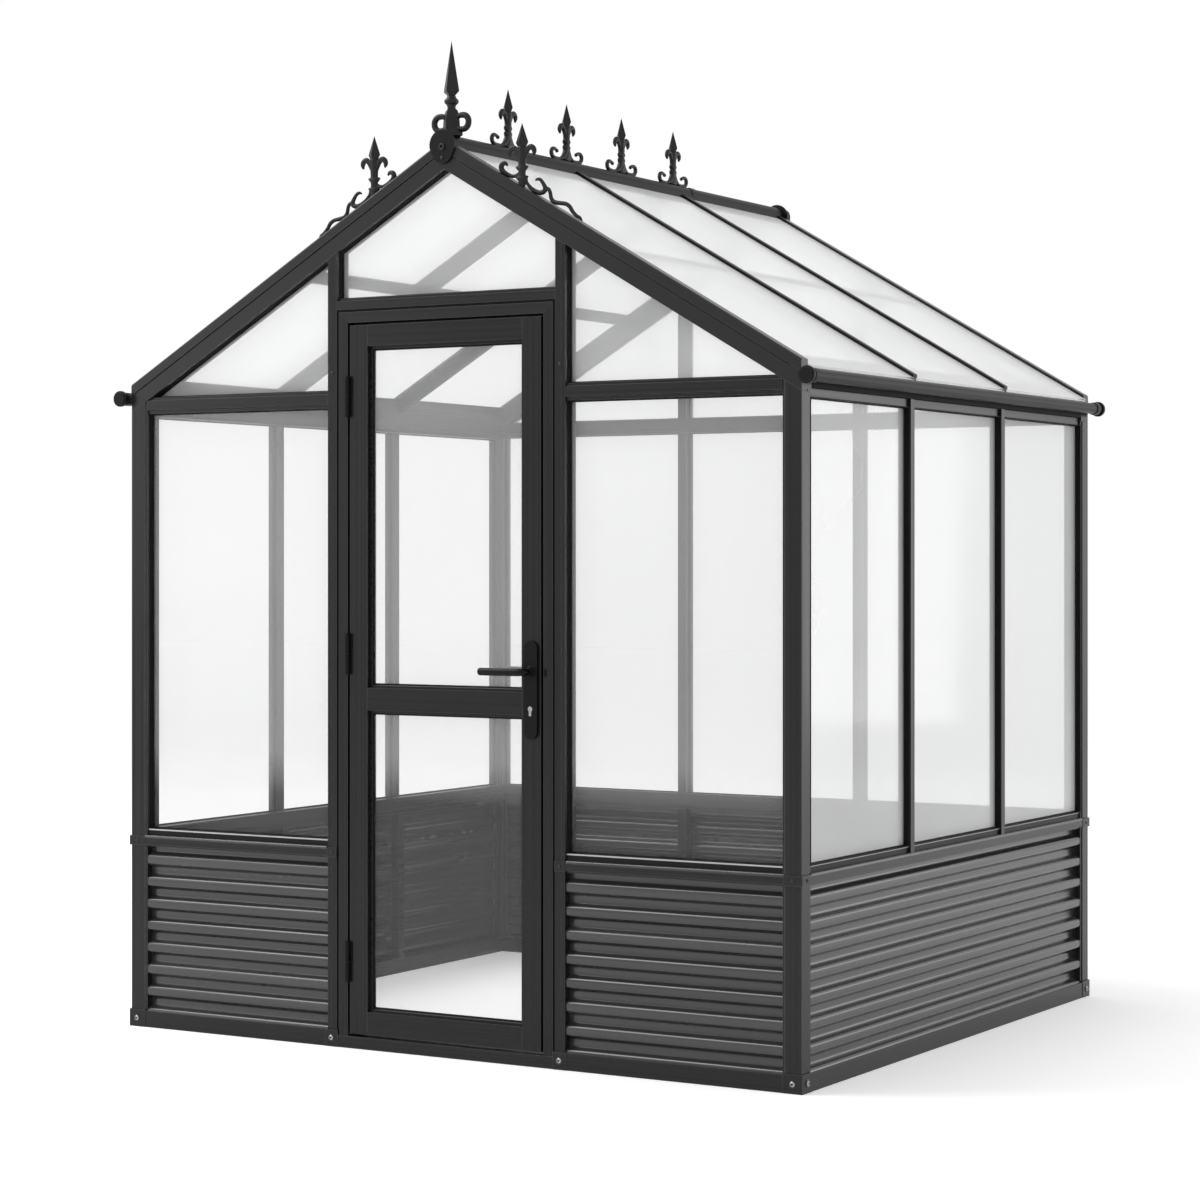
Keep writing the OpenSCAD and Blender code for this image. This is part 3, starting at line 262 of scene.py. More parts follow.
coatSettings = {
    # color, painted edge highlight color, its width in mm, its amount, roughness, specular, grain size,
    # grain depth, mottle, dust, streaks
    "frameCoat": (0.0095, 0.18, 2.4, 0.65, 0.30, 0.27, 1100, 0.03, 0.08, 0.02, 0.16),
    "postCoat": (0.0095, 0.18, 2.4, 0.65, 0.29, 0.27, 1100, 0.03, 0.08, 0.02, 0.22),
    "doorCoat": (0.009, 0.15, 2.4, 0.55, 0.29, 0.24, 1100, 0.03, 0.08, 0.02, 0.20),
    "doorRailCoat": (0.009, 0.15, 2.4, 0.55, 0.29, 0.24, 1100, 0.03, 0.08, 0.02, 0.14),
    "corrugatedCoat": (0.029, 0.18, 1.6, 0.10, 0.22, 0.60, 9, 0.0, 0.03, 0.02, 0.26),
    # the roof frame's coat is a lighter copy of the frame paint: painted light on the rafters and purlins
    "roofFrameLighterCoat": (0.012, 0.18, 2.4, 0.65, 0.32, 0.29, 1100, 0.03, 0.10, 0.03, 0.0),
    "ridgeCoat": (0.007, 0.10, 2.0, 0.50, 0.42, 0.14, 1100, 0.03, 0.10, 0.02, 0.0),
    # the belt lips' coat is a lighter, glossier copy of the frame paint: a painted highlight along the top of
    # the belt
    "lipHighlightCoat": (0.020, 0.16, 2.0, 0.30, 0.28, 0.60, 30, 0.0, 0.06, 0.02, 0.0),
    "castCoat": (0.006, 0.06, 1.4, 0.45, 0.42, 0.30, 420, 0.20, 0.14, 0.02, 0.0),
    "hardwareCoat": (0.004, 0.08, 1.0, 0.45, 0.34, 0.13, 1500, 0.02, 0.08, 0.0, 0.0),
    "gasketRubber": (0.004, 0.02, 0.8, 0.20, 0.65, 0.12, 1800, 0.08, 0.10, 0.01, 0.0),
    "blackScrew": (0.008, 0.12, 0.7, 0.60, 0.25, 0.40, 2000, 0.03, 0.10, 0.0, 0.0),
}

streakSettings = {
    # how closely the lines of a drawn profile lie along x, y and z
    "frameCoat": (0.8, 0.8, 120.0), "doorRailCoat": (0.8, 0.8, 120.0), "corrugatedCoat": (0.45, 0.45, 34.0),
    "postCoat": (110.0, 110.0, 0.6), "doorCoat": (110.0, 110.0, 0.6),
}

metalSettings = {
    # color, roughness, brushing scale
    "boltSteel": (0.34, 0.30, 900),
    "lockNickel": (0.34, 0.26, 1200),
}

sheetSettings = {
    # low haze, high haze, low height, high height, gain at a slant, roughness, light let through,
    # share of the haze seen from below, color
    "wallSheet": (0.042, 0.17, 0.66, 0.78, 0.5, 0.07, 0.0, 1.0, (0.83, 0.835, 0.84, 1)),
    # the right windows' sheet is a whiter copy with a stronger veil: painted reflection of the bright
    # surroundings seen at a slant
    "sideSheetPaintedReflection": (0.31, 0.22, 0.70, 1.10, 0.9, 0.07, 0.0, 1.0, (0.90, 0.905, 0.91, 1)),
    "backSheet": (0.12, 0.07, 0.84, 1.10, 0.0, 0.07, 0.0, 1.0, (0.82, 0.825, 0.83, 1)),
    "rearSheet": (0.15, 0.14, 0.84, 1.10, 0.0, 0.07, 0.0, 1.0, (0.82, 0.825, 0.83, 1)),
    "doorSheet": (0.042, 0.17, 0.66, 0.78, 0.5, 0.07, 0.0, 1.0, (0.84, 0.845, 0.85, 1)),
    "gableSheet": (0.28, 0.30, 1.7, 2.3, 0.3, 0.45, 0.40, 1.0, (0.98, 0.985, 0.99, 1)),
    "roofSheet": (0.20, 0.22, 1.7, 2.4, 1.10, 0.50, 0.30, 0.35, (0.98, 0.985, 0.99, 1)),
}


def newMaterial(name):
    material = bpy.data.materials.new(name)
    material.use_nodes = True
    tree = material.node_tree
    return material, tree, tree.nodes["Principled BSDF"]


def coatMaterial(name, color, highlightColor, highlightWidth, highlightAmount, roughness, specular, grain, depth,
                 mottle, dust, streaks):
    material, tree, shader = newMaterial(name)
    coat = useGroup(tree, powderGrain, {
        "Color": grey(color), "Roughness": roughness, "Grain Scale": float(grain), "Mottle": mottle})
    toned, rough = coat["Color"], coat["Roughness"]
    if streaks:
        drawn = useGroup(tree, drawnStreaks, {
            "Color": toned, "Amount": streaks, "Stretch": streakSettings[name]})
        toned, rough = drawn["Color"], maths(tree, "ADD", rough, drawn["Roughness Shift"])
    # painted highlight along the edges of the coat
    highlighted = useGroup(tree, paintedEdgeHighlight, {
        "Color": toned, "Edge Highlight Color": grey(highlightColor), "Width": highlightWidth * mm, "Amount": highlightAmount})
    dusty = useGroup(tree, settledDust, {"Color": highlighted["Color"], "Dust Color": grey(0.35), "Amount": dust})
    bump = put(tree, "ShaderNodeBump", {"Height": coat["Height"], "Strength": depth, "Distance": 0.4 * mm})
    setSockets(tree, shader.inputs, {
        "Base Color": dusty["Color"], "Roughness": rough, "Normal": bump.outputs[0],
        "Specular IOR Level": specular})
    return material


def metalMaterial(name, color, roughness, brushing):
    material, tree, shader = newMaterial(name)
    coat = useGroup(tree, powderGrain, {
        "Color": grey(color), "Roughness": roughness, "Grain Scale": float(brushing), "Mottle": 0.12})
    # painted highlight along the edges of the metal
    highlighted = useGroup(tree, paintedEdgeHighlight, {
        "Color": coat["Color"], "Edge Highlight Color": grey(0.85), "Width": 0.6 * mm, "Amount": 0.6})
    bump = put(tree, "ShaderNodeBump", {"Height": coat["Height"], "Strength": 0.05, "Distance": 0.2 * mm})
    setSockets(tree, shader.inputs, {
        "Base Color": highlighted["Color"], "Roughness": coat["Roughness"], "Normal": bump.outputs[0],
        "Metallic": 1.0})
    return material


def sheetMaterial(name, lowHaze, highHaze, lowHeight, highHeight, slantGain, roughness, through,
                  belowShare, color):
    material, tree, shader = newMaterial(name)
    film = useGroup(tree, sheetHaze, {
        "Low Haze": lowHaze, "High Haze": highHaze, "Low Height": lowHeight, "High Height": highHeight})
    facing = put(tree, "ShaderNodeLayerWeight", {"Blend": 0.5}).outputs["Facing"]
    alpha = maths(tree, "MULTIPLY_ADD", maths(tree, "POWER", facing, 4.0), slantGain, film["Haze"])
    if belowShare < 1:  # white where the sky lights it, clearer from the room
        alpha = maths(tree, "MULTIPLY", alpha, spread(tree, facingUp(tree), -0.1, 0.1, belowShare, 1.0))
    setSockets(tree, shader.inputs, {
        "Base Color": blendColor(tree, film["Tint"], darker(color, 0.97), color),
        "Roughness": maths(tree, "ADD", film["Roughness"], roughness), "Alpha": alpha,
        "Transmission Weight": through})
    if through:
        shader.inputs["IOR"].default_value = 1.12
    return material


def edgeHighlightMaterial(name, color):
    # The pale cut edge of a clear sheet, and a painted highlight: the light line at the foot of the sheets
    material, tree, shader = newMaterial(name)
    tint = useGroup(tree, sheetHaze, {})["Tint"]
    setSockets(tree, shader.inputs, {
        "Base Color": blendColor(tree, tint, darker(color, 0.9), color), "Roughness": 0.35})
    return material


finish = {name: coatMaterial(name, *values) for name, values in coatSettings.items()}
finish |= {name: metalMaterial(name, *values) for name, values in metalSettings.items()}
finish |= {name: sheetMaterial(name, *values) for name, values in sheetSettings.items()}
finish["sheetEdgeHighlight"] = edgeHighlightMaterial("sheetEdgeHighlight", (0.50, 0.505, 0.51, 1))
print("materials ready:", len(finish))


# Rounded edges and shading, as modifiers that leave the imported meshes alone

bevelCrease, softCrease = 36, 32  # degrees
panelCrease = 68  # for the waves of the corrugated panels


def jointingGroup():
    tree, given, out = newGroup(
        "joinCorners", [("Geometry", "Geometry", None)], [("Geometry", "Geometry")], "GeometryNodeTree")
    plain = put(tree, "GeometryNodeRemoveAttribute", {"Geometry": given[0], "Name": "custom_normal"})
    joined = put(tree, "GeometryNodeMergeByDistance", {"Geometry": plain.outputs[0], "Distance": 0.02 * mm})
    tree.links.new(joined.outputs[0], out[0])
    return tree


def shadingGroup():
    tree, given, out = newGroup(
        "softShading", [("Geometry", "Geometry", None), ("Angle", "Float", math.radians(softCrease))],
        [("Geometry", "Geometry")], "GeometryNodeTree")
    bend = put(tree, "GeometryNodeInputMeshEdgeAngle").outputs["Unsigned Angle"]
    soft = put(tree, "FunctionNodeCompare", {0: bend, 1: given["Angle"]}, operation="LESS_THAN").outputs[0]
    faces = put(tree, "GeometryNodeSetShadeSmooth", {"Geometry": given["Geometry"]}, domain="FACE")
    edges = put(tree, "GeometryNodeSetShadeSmooth", {
        "Geometry": faces.outputs[0], "Shade Smooth": soft}, domain="EDGE")
    tree.links.new(edges.outputs[0], out[0])
    return tree


joinCorners = jointingGroup()
softShading = shadingGroup()


def shadeSoftly(piece, angle=softCrease):
    soft = piece.modifiers.new("softShading", "NODES")
    soft.node_group = softShading
    soft[softShading.interface.items_tree["Angle"].identifier] = math.radians(angle)


def roundEdges(piece, width, fromCad=False, crease=softCrease):
    if fromCad:
        piece.modifiers.new("joinCorners", "NODES").node_group = joinCorners
        flat = piece.modifiers.new("flatFaces", "DECIMATE")
        flat.decimate_type = "DISSOLVE"
        flat.angle_limit = math.radians(0.5)
    if width:
        bevel = piece.modifiers.new("roundedEdges", "BEVEL")
        bevel.width = width
        bevel.segments = 2
        bevel.limit_method = "ANGLE"
        bevel.angle_limit = math.radians(bevelCrease)
        bevel.use_clamp_overlap = False
        bevel.harden_normals = False
    shadeSoftly(piece, crease)
    if width:
        even = piece.modifiers.new("evenNormals", "WEIGHTED_NORMAL")
        even.keep_sharp = True
        even.weight = 100


cadFinish = {
    # material: (edge radius, nodes)
    "frameCoat": (0.8 * mm, [
        "front_base_rail", "rear_base_rail", "side_base_rails", "door_head", "door_header",
        "front_transoms", "rear_transom", "wall_plates", "front_belt_rails", "rear_belt_rail",
        "side_belt_rails", "knee_studs", "frame_cleats"]),
    "postCoat": (0.8 * mm, ["corner_posts", "side_mullions", "rear_mullions"]),
    # rafters and purlins take the lighter copy of the frame paint: painted light
    "roofFrameLighterCoat": (0.8 * mm, ["front_rafters", "rear_rafters", "purlins"]),
    "ridgeCoat": (0.8 * mm, ["roof_bars", "ridge_beam", "gable_bosses", "gutters"]),
    "corrugatedCoat": (0, ["front_knee_panels", "rear_knee_panel", "left_knee_panel", "right_knee_panel"]),
    "wallSheet": (0.3 * mm, ["front_windows"]),
    # the right windows take the whiter copy: painted reflection
    "sideSheetPaintedReflection": (0.3 * mm, ["right_windows"]),
    "backSheet": (0.3 * mm, ["left_windows"]),
    "rearSheet": (0.3 * mm, ["rear_windows"]),
    "gableSheet": (0.3 * mm, ["front_gable_sheets", "rear_gable_sheets"]),
    "roofSheet": (0.3 * mm, ["left_roof_sheets", "right_roof_sheets"]),
    "doorSheet": (0.3 * mm, ["door_sheets"]),
    "castCoat": (0.5 * mm, ["front_spire", "ridge_cresting", "rafter_cresting"]),
    "hardwareCoat": (0.4 * mm, ["hinge_pins", "hinge_knuckles", "lock_plates", "door_lever"]),
    "doorCoat": (0.8 * mm, ["door_leaf", "door_posts", "door_jambs"]),
}


def dressCad(name, material, width):
    node = nodes[name]
    for slot in node.material_slots:
        slot.material = material
    waved = name.endswith(("_panel", "_panels"))
    roundEdges(node, width, fromCad=True, crease=panelCrease if waved else softCrease)


for coat, (width, names) in cadFinish.items():
    for name in names:
        dressCad(name, finish[coat], width)
print("packed nodes dressed")


# Places: a wall's own coordinates are x along it, d inwards from the outermost plane, and z up

cleatHigh, ridgeHigh = (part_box(name)[1] for name in ("frame_cleats", "ridge_beam"))
halfWidth, halfLength = cleatHigh.x, cleatHigh.y
pitch = math.radians(30.25)
apexZ = ridgeHigh.z - 13.3 * mm  # the rafters' tops would meet here


def onFront(x, d, z):
    return Vector((x, d - halfLength, z))


def onRear(x, d, z):
    return Vector((-x, halfLength - d, z))


def onRight(x, d, z):
    return Vector((halfWidth - d, x, z))


def onLeft(x, d, z):
    return Vector((d - halfWidth, -x, z))


def onSlope(side):
    def place(s, y, n):  # s down the slope from the apex, n square to it
        x = s * math.cos(pitch) + n * math.sin(pitch)
        return Vector((side * x, y, apexZ - s * math.sin(pitch) + n * math.cos(pitch)))
    return place


# Making pieces

def newPiece(name, bm, material, body, width=0.0, replaced=()):
    bmesh.ops.recalc_face_normals(bm, faces=bm.faces)
    piece = addObject(name, meshFrom(name, bm))
    piece.data.materials.append(material)
    roundEdges(piece, width)
    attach(piece, body)
    if replaced:
        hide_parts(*replaced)


def bridge(bm, first, second):
    count = len(first)
    for i in range(count):
        j = (i + 1) % count
        bm.faces.new((first[i], first[j], second[j], second[i]))


def loft(bm, rings, capped=True):
    # A skin over rings of points; a ring of one point is a tip
    for first, second in zip(rings, rings[1:]):
        if len(first) == 1 or len(second) == 1:
            tip, ring = (first[0], second) if len(first) == 1 else (second[0], first)
            for i, point in enumerate(ring):
                bm.faces.new((tip, point, ring[(i + 1) % len(ring)]))
        else:
            bridge(bm, first, second)
    for ring in (rings[0], rings[-1]):
        if capped and len(ring) > 1:
            bm.faces.new(ring)


def prism(bm, outline, start, end, place):
    # A bar from an outline; place(u, v, w) gives the world point, w running from start to end
    loft(bm, [[bm.verts.new(place(u, v, w)) for u, v in outline] for w in (start, end)])


def box(bm, low, high, place=lambda x, y, z: Vector((x, y, z))):
    outline = [(low[0], low[1]), (high[0], low[1]), (high[0], high[1]), (low[0], high[1])]
    prism(bm, outline, low[2], high[2], place)


def insetLoop(loop, amount):
    # A convex loop moved inwards by amount, its corners kept
    count = len(loop)
    area = sum(loop[i][0] * loop[(i + 1) % count][1] - loop[(i + 1) % count][0] * loop[i][1]
               for i in range(count))
    turn = 1 if area > 0 else -1
    moved = []
    for i in range(count):
        here, before, after = Vector(loop[i]), Vector(loop[i - 1]), Vector(loop[(i + 1) % count])
        first, second = (here - before).normalized(), (after - here).normalized()
        firstIn = Vector((-first.y, first.x)) * turn
        secondIn = Vector((-second.y, second.x)) * turn
        corner = (firstIn + secondIn) / (1 + firstIn.dot(secondIn))
        moved.append(tuple(here + corner * amount))
    return moved


def ringStrip(bm, loop, outline, place):
    # A mitred strip round a convex loop; outline holds (inset, depth) points
    rings = []
    for inset, depth in outline:
        rings.append([bm.verts.new(place(x, depth, z)) for x, z in insetLoop(loop, inset)])
    for i, ring in enumerate(rings):
        bridge(bm, ring, rings[(i + 1) % len(rings)])


def turned(bm, outline, centre, axis, sides=32):
    # A turned shape from (radius, height) points along an axis; a radius of 0 closes it, and a
    # third number gives that ring so many corners
    axis = Vector(axis).normalized()
    across = axis.orthogonal().normalized()
    other = axis.cross(across)
    rings = []
    for radius, height, *corners in outline:
        base = Vector(centre) + axis * height
        if radius == 0:
            rings.append([bm.verts.new(base)])
            continue
        ring = []
        for i in range(sides):
            angle, reach = 2 * math.pi * i / sides, radius
            if corners:
                half = math.pi / corners[0]
                reach *= math.cos(half) / math.cos(angle % (2 * half) - half)
            ring.append(bm.verts.new(base + (across * math.cos(angle) + other * math.sin(angle)) * reach))
        rings.append(ring)
    loft(bm, rings, False)


def smoothPath(points, steps=4):
    # A smooth curve through the points
    points = [Vector(p) for p in points]
    padded = [2 * points[0] - points[1]] + points + [2 * points[-1] - points[-2]]
    path = []
    for i in range(1, len(padded) - 2):
        a, b, c, d = padded[i - 1:i + 3]
        for k in range(steps):
            t = k / steps
            path.append(0.5 * (2 * b + (c - a) * t + (2 * a - 5 * b + 4 * c - d) * t * t
                               + (3 * b - a - 3 * c + d) * t ** 3))
    path.append(points[-1])
    return path


def taperBar(bm, stations, place, sides=12, steps=4, flat=1.0):
    # A bar along stations of (u, w, radius) in a plane, flat its thickness over its width
    path = smoothPath(stations, steps)
    rings = []
    for i, here in enumerate(path):
        before, after = path[max(i - 1, 0)], path[min(i + 1, len(path) - 1)]
        along = Vector((after.x - before.x, after.y - before.y)).normalized()
        across = Vector((-along.y, along.x))
        radius = max(here.z, 0.2 * mm)
        ring = []
        for k in range(sides):
            angle = 2 * math.pi * k / sides
            point = Vector((here.x, here.y)) + across * math.cos(angle) * radius
            ring.append(bm.verts.new(place(point.x, math.sin(angle) * radius * flat, point.y)))
        rings.append(ring)
    loft(bm, rings)


# Glazing strips round the wall, gable and door sheets

stripSettings = {
    "lap": 5 * mm, "show": 3.6 * mm, "proud": 2.6 * mm, "corner": 0.9 * mm, "leg": 16 * mm,
    "roomLeg": 0.5 * mm, "sunk": 0.8 * mm, "rebate": 1.3 * mm, "step": 1.6 * mm,
}


def solidsOf(name):
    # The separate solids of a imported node, each as a list of points
    mesh = nodes[name].data
    key = [tuple(round(c, 5) for c in v.co) for v in mesh.vertices]
    leader = {k: k for k in key}

    def find(k):
        while leader[k] != k:
            leader[k] = leader[leader[k]]
            k = leader[k]
        return k

    for polygon in mesh.polygons:
        first = find(key[polygon.vertices[0]])
        for index in polygon.vertices[1:]:
            leader[find(key[index])] = first
    groups = {}
    for k in leader:
        groups.setdefault(find(k), []).append(Vector(k))
    return sorted(groups.values(), key=lambda points: tuple(min(points, key=tuple)))


def sheetOutline(points, unplace):
    # A flat sheet's convex outline in its wall's coordinates, and its two depths
    local = [unplace(p) for p in points]
    depths = [p[1] for p in local]
    flat = sorted({(round(p[0], 5), round(p[2], 5)) for p in local})
    hull = []
    for run in (flat, flat[::-1]):
        part = []
        for p in run:
            while len(part) > 1:
                (ax, az), (bx, bz) = part[-2:]
                if (bx - ax) * (p[1] - az) - (bz - az) * (p[0] - ax) > 1e-9:
                    break
                part.pop()
            part.append(p)
        hull += part[:-1]
    return hull, min(depths), max(depths)


walls = {
    "front": (onFront, lambda p: (p.x, p.y + halfLength, p.z)),
    "rear": (onRear, lambda p: (-p.x, halfLength - p.y, p.z)),
    "right": (onRight, lambda p: (p.y, halfWidth - p.x, p.z)),
    "left": (onLeft, lambda p: (-p.y, p.x + halfWidth, p.z)),
}


def glazingStrips(name, wall, sheetNodes, body, settings):
    place, unplace = walls[wall]
    bm = bmesh.new()
    lap, show, proud, corner = pick(settings, "lap", "show", "proud", "corner")
    back, rebate, step = lap - settings["sunk"], lap + settings["rebate"], lap + settings["step"]
    for node in sheetNodes:
        for points in solidsOf(node):
            loop, outer, inner = sheetOutline(points, unplace)
            for face, out, leg in ((outer, -1, settings["leg"]), (inner, 1, proud + settings["roomLeg"])):
                ringStrip(bm, loop, [
                    (back, face), (back, face + out * leg), (rebate, face + out * leg),
                    (step, face + out * proud),
                    (lap + show - corner, face + out * proud), (lap + show, face + out * (proud - corner)),
                    (lap + show, face)], place)
    newPiece(name, bm, finish["gasketRubber"], body)


wallSheets = {
    "front": ["front_windows", "front_gable_sheets"], "rear": ["rear_windows", "rear_gable_sheets"],
    "left": ["left_windows"], "right": ["right_windows"],
}
for wall, sheetNodes in wallSheets.items():
    glazingStrips(wall + "GlazingStrips", wall, sheetNodes, "root", stripSettings)
glazingStrips("doorGlazingStrips", "front", ["door_sheets"], "door", stripSettings | {"leg": 4 * mm})
print("glazing strips made")


# Seals, lips and strips of painted shade laid along the frame; lengths along a wall, then depth and height
trimSettings = {
    "lipRound": 6 * mm, "lipFace": 1.3 * mm, "lipBack": 12.2 * mm, "lipLow": 526.5 * mm,
    "lipTop": 534.5 * mm, "lipEnd": 997 * mm, "lipPost": 375.5 * mm,
    "sill": (534 * mm, 547.2 * mm), "sheetFoot": (548 * mm, 551.6 * mm),
    "sillDepth": (11.3 * mm, 12.5 * mm),
    "eave": (1722.4 * mm, 1738 * mm), "eaveDepth": (3.2 * mm, 4.6 * mm),
    "plateFoot": (1700.5 * mm, 1710 * mm), "plateDepth": (57 * mm, 58.8 * mm),
    "postEnd": 372.5 * mm, "roomX": 991.5 * mm, "roomY": 891.5 * mm,
    "frameIn": 306.5 * mm, "frameOut": 335.5 * mm, "grooveOut": 342 * mm, "headZ": 1932 * mm,
    "groovePlay": 0.3 * mm, "grooveDepth": (6.5 * mm, 11.5 * mm), "sealLow": 46 * mm,
    "rafterFace": 5.2 * mm, "rafterShadeStrip": 1.4 * mm, "rafterGroove": (-30 * mm, -27 * mm),
    "rafterRun": (0.075, 1.185),
    "seam": 0.5 * mm, "seamDepth": (3.85 * mm, 5 * mm),
    "strikeLow": (309 * mm, 3.2 * mm, 1.002), "strikeHigh": (317 * mm, 4.5 * mm, 1.021),
}


def beltLips(settings):
    bm = bmesh.new()
    curve, face, top, back = pick(settings, "lipRound", "lipFace", "lipTop", "lipBack")
    arc = [(face + curve * (1 - math.cos(a)), top - curve * (1 - math.sin(a)))
           for a in (math.radians(15 * k) for k in range(7))]
    outline = arc + [(back, top), (back, settings["lipLow"]), (face, settings["lipLow"])]
    end, post = settings["lipEnd"], settings["lipPost"]
    side = halfLength - (halfWidth - end)
    for wall, low, high in (("front", -end, -post), ("front", post, end), ("rear", -end, end),
                            ("left", -side, side), ("right", -side, side)):
        prism(bm, outline, low, high, lambda u, v, w: walls[wall][0](w, u, v))
    # the lips take the lighter copy of the frame paint: painted highlight
    newPiece("beltLips", bm, finish["lipHighlightCoat"], "root")


def frameSealsAndShade(settings):
    bm, sillShades, footHighlights = bmesh.new(), bmesh.new(), bmesh.new()

    def strip(wall, x, d, z, into=bm):
        box(into, (x[0], d[0], z[0]), (x[1], d[1], z[1]), walls[wall][0])

    roomX, roomY, post = settings["roomX"], settings["roomY"], settings["postEnd"]
    for wall, low, high in (("front", -roomX, -post), ("front", post, roomX), ("rear", -roomX, roomX),
                            ("left", -roomY, roomY), ("right", -roomY, roomY)):
        strip(wall, (low, high), settings["sillDepth"], settings["sill"], sillShades)
        strip(wall, (low, high), settings["sillDepth"], settings["sheetFoot"], footHighlights)
    for wall in ("left", "right"):
        # a black strip under each gutter: painted shadow
        strip(wall, (-roomY, roomY), settings["eaveDepth"], settings["eave"])
        strip(wall, (-roomY, roomY), settings["plateDepth"], settings["plateFoot"])
    play, groove = settings["groovePlay"], settings["grooveDepth"]
    inner, outer = settings["frameOut"] + play, settings["grooveOut"] - play
    head = settings["headZ"] + outer - settings["frameIn"]
    for low, high in ((-outer, -inner), (inner, outer)):
        strip("front", (low, high), groove, (settings["sealLow"], head))
    strip("front", (-inner, inner), groove, (head - outer + inner, head))
    low, high = settings["rafterGroove"]
    start, stop = settings["rafterRun"]
    half = settings["rafterShadeStrip"]
    for side in (-1, 1):  # a black strip in the groove under each rafter's upper band: painted shade
        for end in (-1, 1):
            y = (halfLength - settings["rafterFace"]) * end
            box(bm, (start, y - half, low), (stop, y + half, high), onSlope(side))
    newPiece("frameSealsAndShade", bm, finish["gasketRubber"], "root")
    # dark strips in the darker ridge coat on the recessed sill under the belt lip: painted shade
    newPiece("sillShadeStrips", sillShades, finish["ridgeCoat"], "root", 0.3 * mm)
    # a pale strip along the foot of the sheets: painted highlight, and the sheets' pale cut edge
    newPiece("sheetFootHighlights", footHighlights, finish["sheetEdgeHighlight"], "root", 0.3 * mm)


def cornerSeams(settings):
    # The mitre lines at the head of the door frame, and the strike plate on the jamb
    bm = bmesh.new()
    low, high, half = pick(settings, "frameIn", "frameOut", "seam")
    rise = settings["headZ"] - low
    for side in (-1, 1):
        outline = [(low, -half), (high, -half), (high, half), (low, half)]
        prism(bm, outline, *settings["seamDepth"], lambda u, v, w: onFront(side * u, w, u + rise + v))
    box(bm, settings["strikeLow"], settings["strikeHigh"], onFront)
    newPiece("frameSeams", bm, finish["gasketRubber"], "root")


beltLips(trimSettings)
frameSealsAndShade(trimSettings)
cornerSeams(trimSettings)
print("seals and lips made")


# Side mullions: a cap over the sheets and a slimmer grooved body behind them
mullionSettings = {
    "places": (-0.3017, 0.3017), "cap": 11.5 * mm, "body": 15 * mm, "capFace": 4 * mm, "bodyFace": 12 * mm,
    "capLap": 0.5 * mm, "back": 39 * mm, "capZ": (0.529, 1.722), "bodyZ": (0.552, 1.700),
    "groove": 1.5 * mm, "grooveAt": 7 * mm,
}


def sideMullions(settings):
    caps, bodies = bmesh.new(), bmesh.new()
    wide, back, deep, at = pick(settings, "body", "back", "groove", "grooveAt")
    face, cap = settings["bodyFace"], settings["cap"]
    capLow, capHigh = settings["capZ"]
    outline = [(-wide, face), (wide, face), (wide, back), (at + deep, back), (at + deep / 2, back - deep),
               (at, back), (-at, back), (-at - deep / 2, back - deep), (-at - deep, back), (-wide, back)]
    for wall in ("left", "right"):
        for middle in settings["places"]:
            box(caps, (middle - cap, settings["capFace"], capLow),
                (middle + cap, face + settings["capLap"], capHigh), walls[wall][0])
            prism(bodies, outline, *settings["bodyZ"], lambda u, v, w: walls[wall][0](middle + u, v, w))
    newPiece("mullionCaps", caps, finish["postCoat"], "root", 0.8 * mm, ["side_mullions"])
    newPiece("mullionBodies", bodies, finish["postCoat"], "root", 0.4 * mm)


sideMullions(mullionSettings)
print("side mullions made")


# Door leaf: stiles and rails butted together, and mitred beads round the sheets

leafLow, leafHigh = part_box("door_leaf")
doorSettings = {
    "stile": 57 * mm, "topRail": 57 * mm, "bottomRail": 61 * mm, "midRail": 60 * mm,
    "midRailZ": 0.901, "bead": 8 * mm, "beadSet": 13 * mm, "beadSlant": (2 * mm, 1.5 * mm),
    "beadSunk": 0.5 * mm, "railStep": 0.15 * mm,
    "pocket": 2 * mm,  # half the depth left between the beads for the sheet
}


def doorLeaf(settings):
    front, back = leafLow.y + halfLength, leafHigh.y + halfLength
    mid = (front + back) / 2
    inner = leafHigh.x - settings["stile"]
    bm = bmesh.new()
    for low, high in ((leafLow.x, -inner), (inner, leafHigh.x)):
        box(bm, (low, front, leafLow.z), (high, back, leafHigh.z), onFront)
    newPiece("doorStiles", bm, finish["doorCoat"], "door", 0.8 * mm, ["door_leaf"])
    top = leafHigh.z - settings["topRail"]
    midTop = settings["midRailZ"] + settings["midRail"]
    bottom = leafLow.z + settings["bottomRail"]
    step = settings["railStep"]
    bm = bmesh.new()
    for low, high in ((leafLow.z, bottom), (settings["midRailZ"], midTop), (top, leafHigh.z)):
        box(bm, (-inner, front + step, low), (inner, back - step, high), onFront)
    newPiece("doorRails", bm, finish["doorRailCoat"], "door", 0.4 * mm)
    bm = bmesh.new()
    bead, deep, pocket, sunk = pick(settings, "bead", "beadSet", "pocket", "beadSunk")
    run, drop = settings["beadSlant"]
    for low, high in ((bottom, settings["midRailZ"]), (midTop, top)):
        loop = [(-inner, low), (inner, low), (inner, high), (-inner, high)]
        for edge, inside in ((front + deep, mid - pocket), (back - deep, mid + pocket)):
            slant = drop * (1 if edge < inside else -1)
            ringStrip(bm, loop, [(-sunk, edge), (bead - run, edge), (bead, edge + slant),
                                 (bead, inside), (-sunk, inside)], onFront)
    newPiece("doorBeads", bm, finish["doorRailCoat"], "door", 0.3 * mm)


doorLeaf(doorSettings)
print("door leaf made")


# Handle: a swept lever on each side, on its spindle, with a rose and a keyhole on the plate

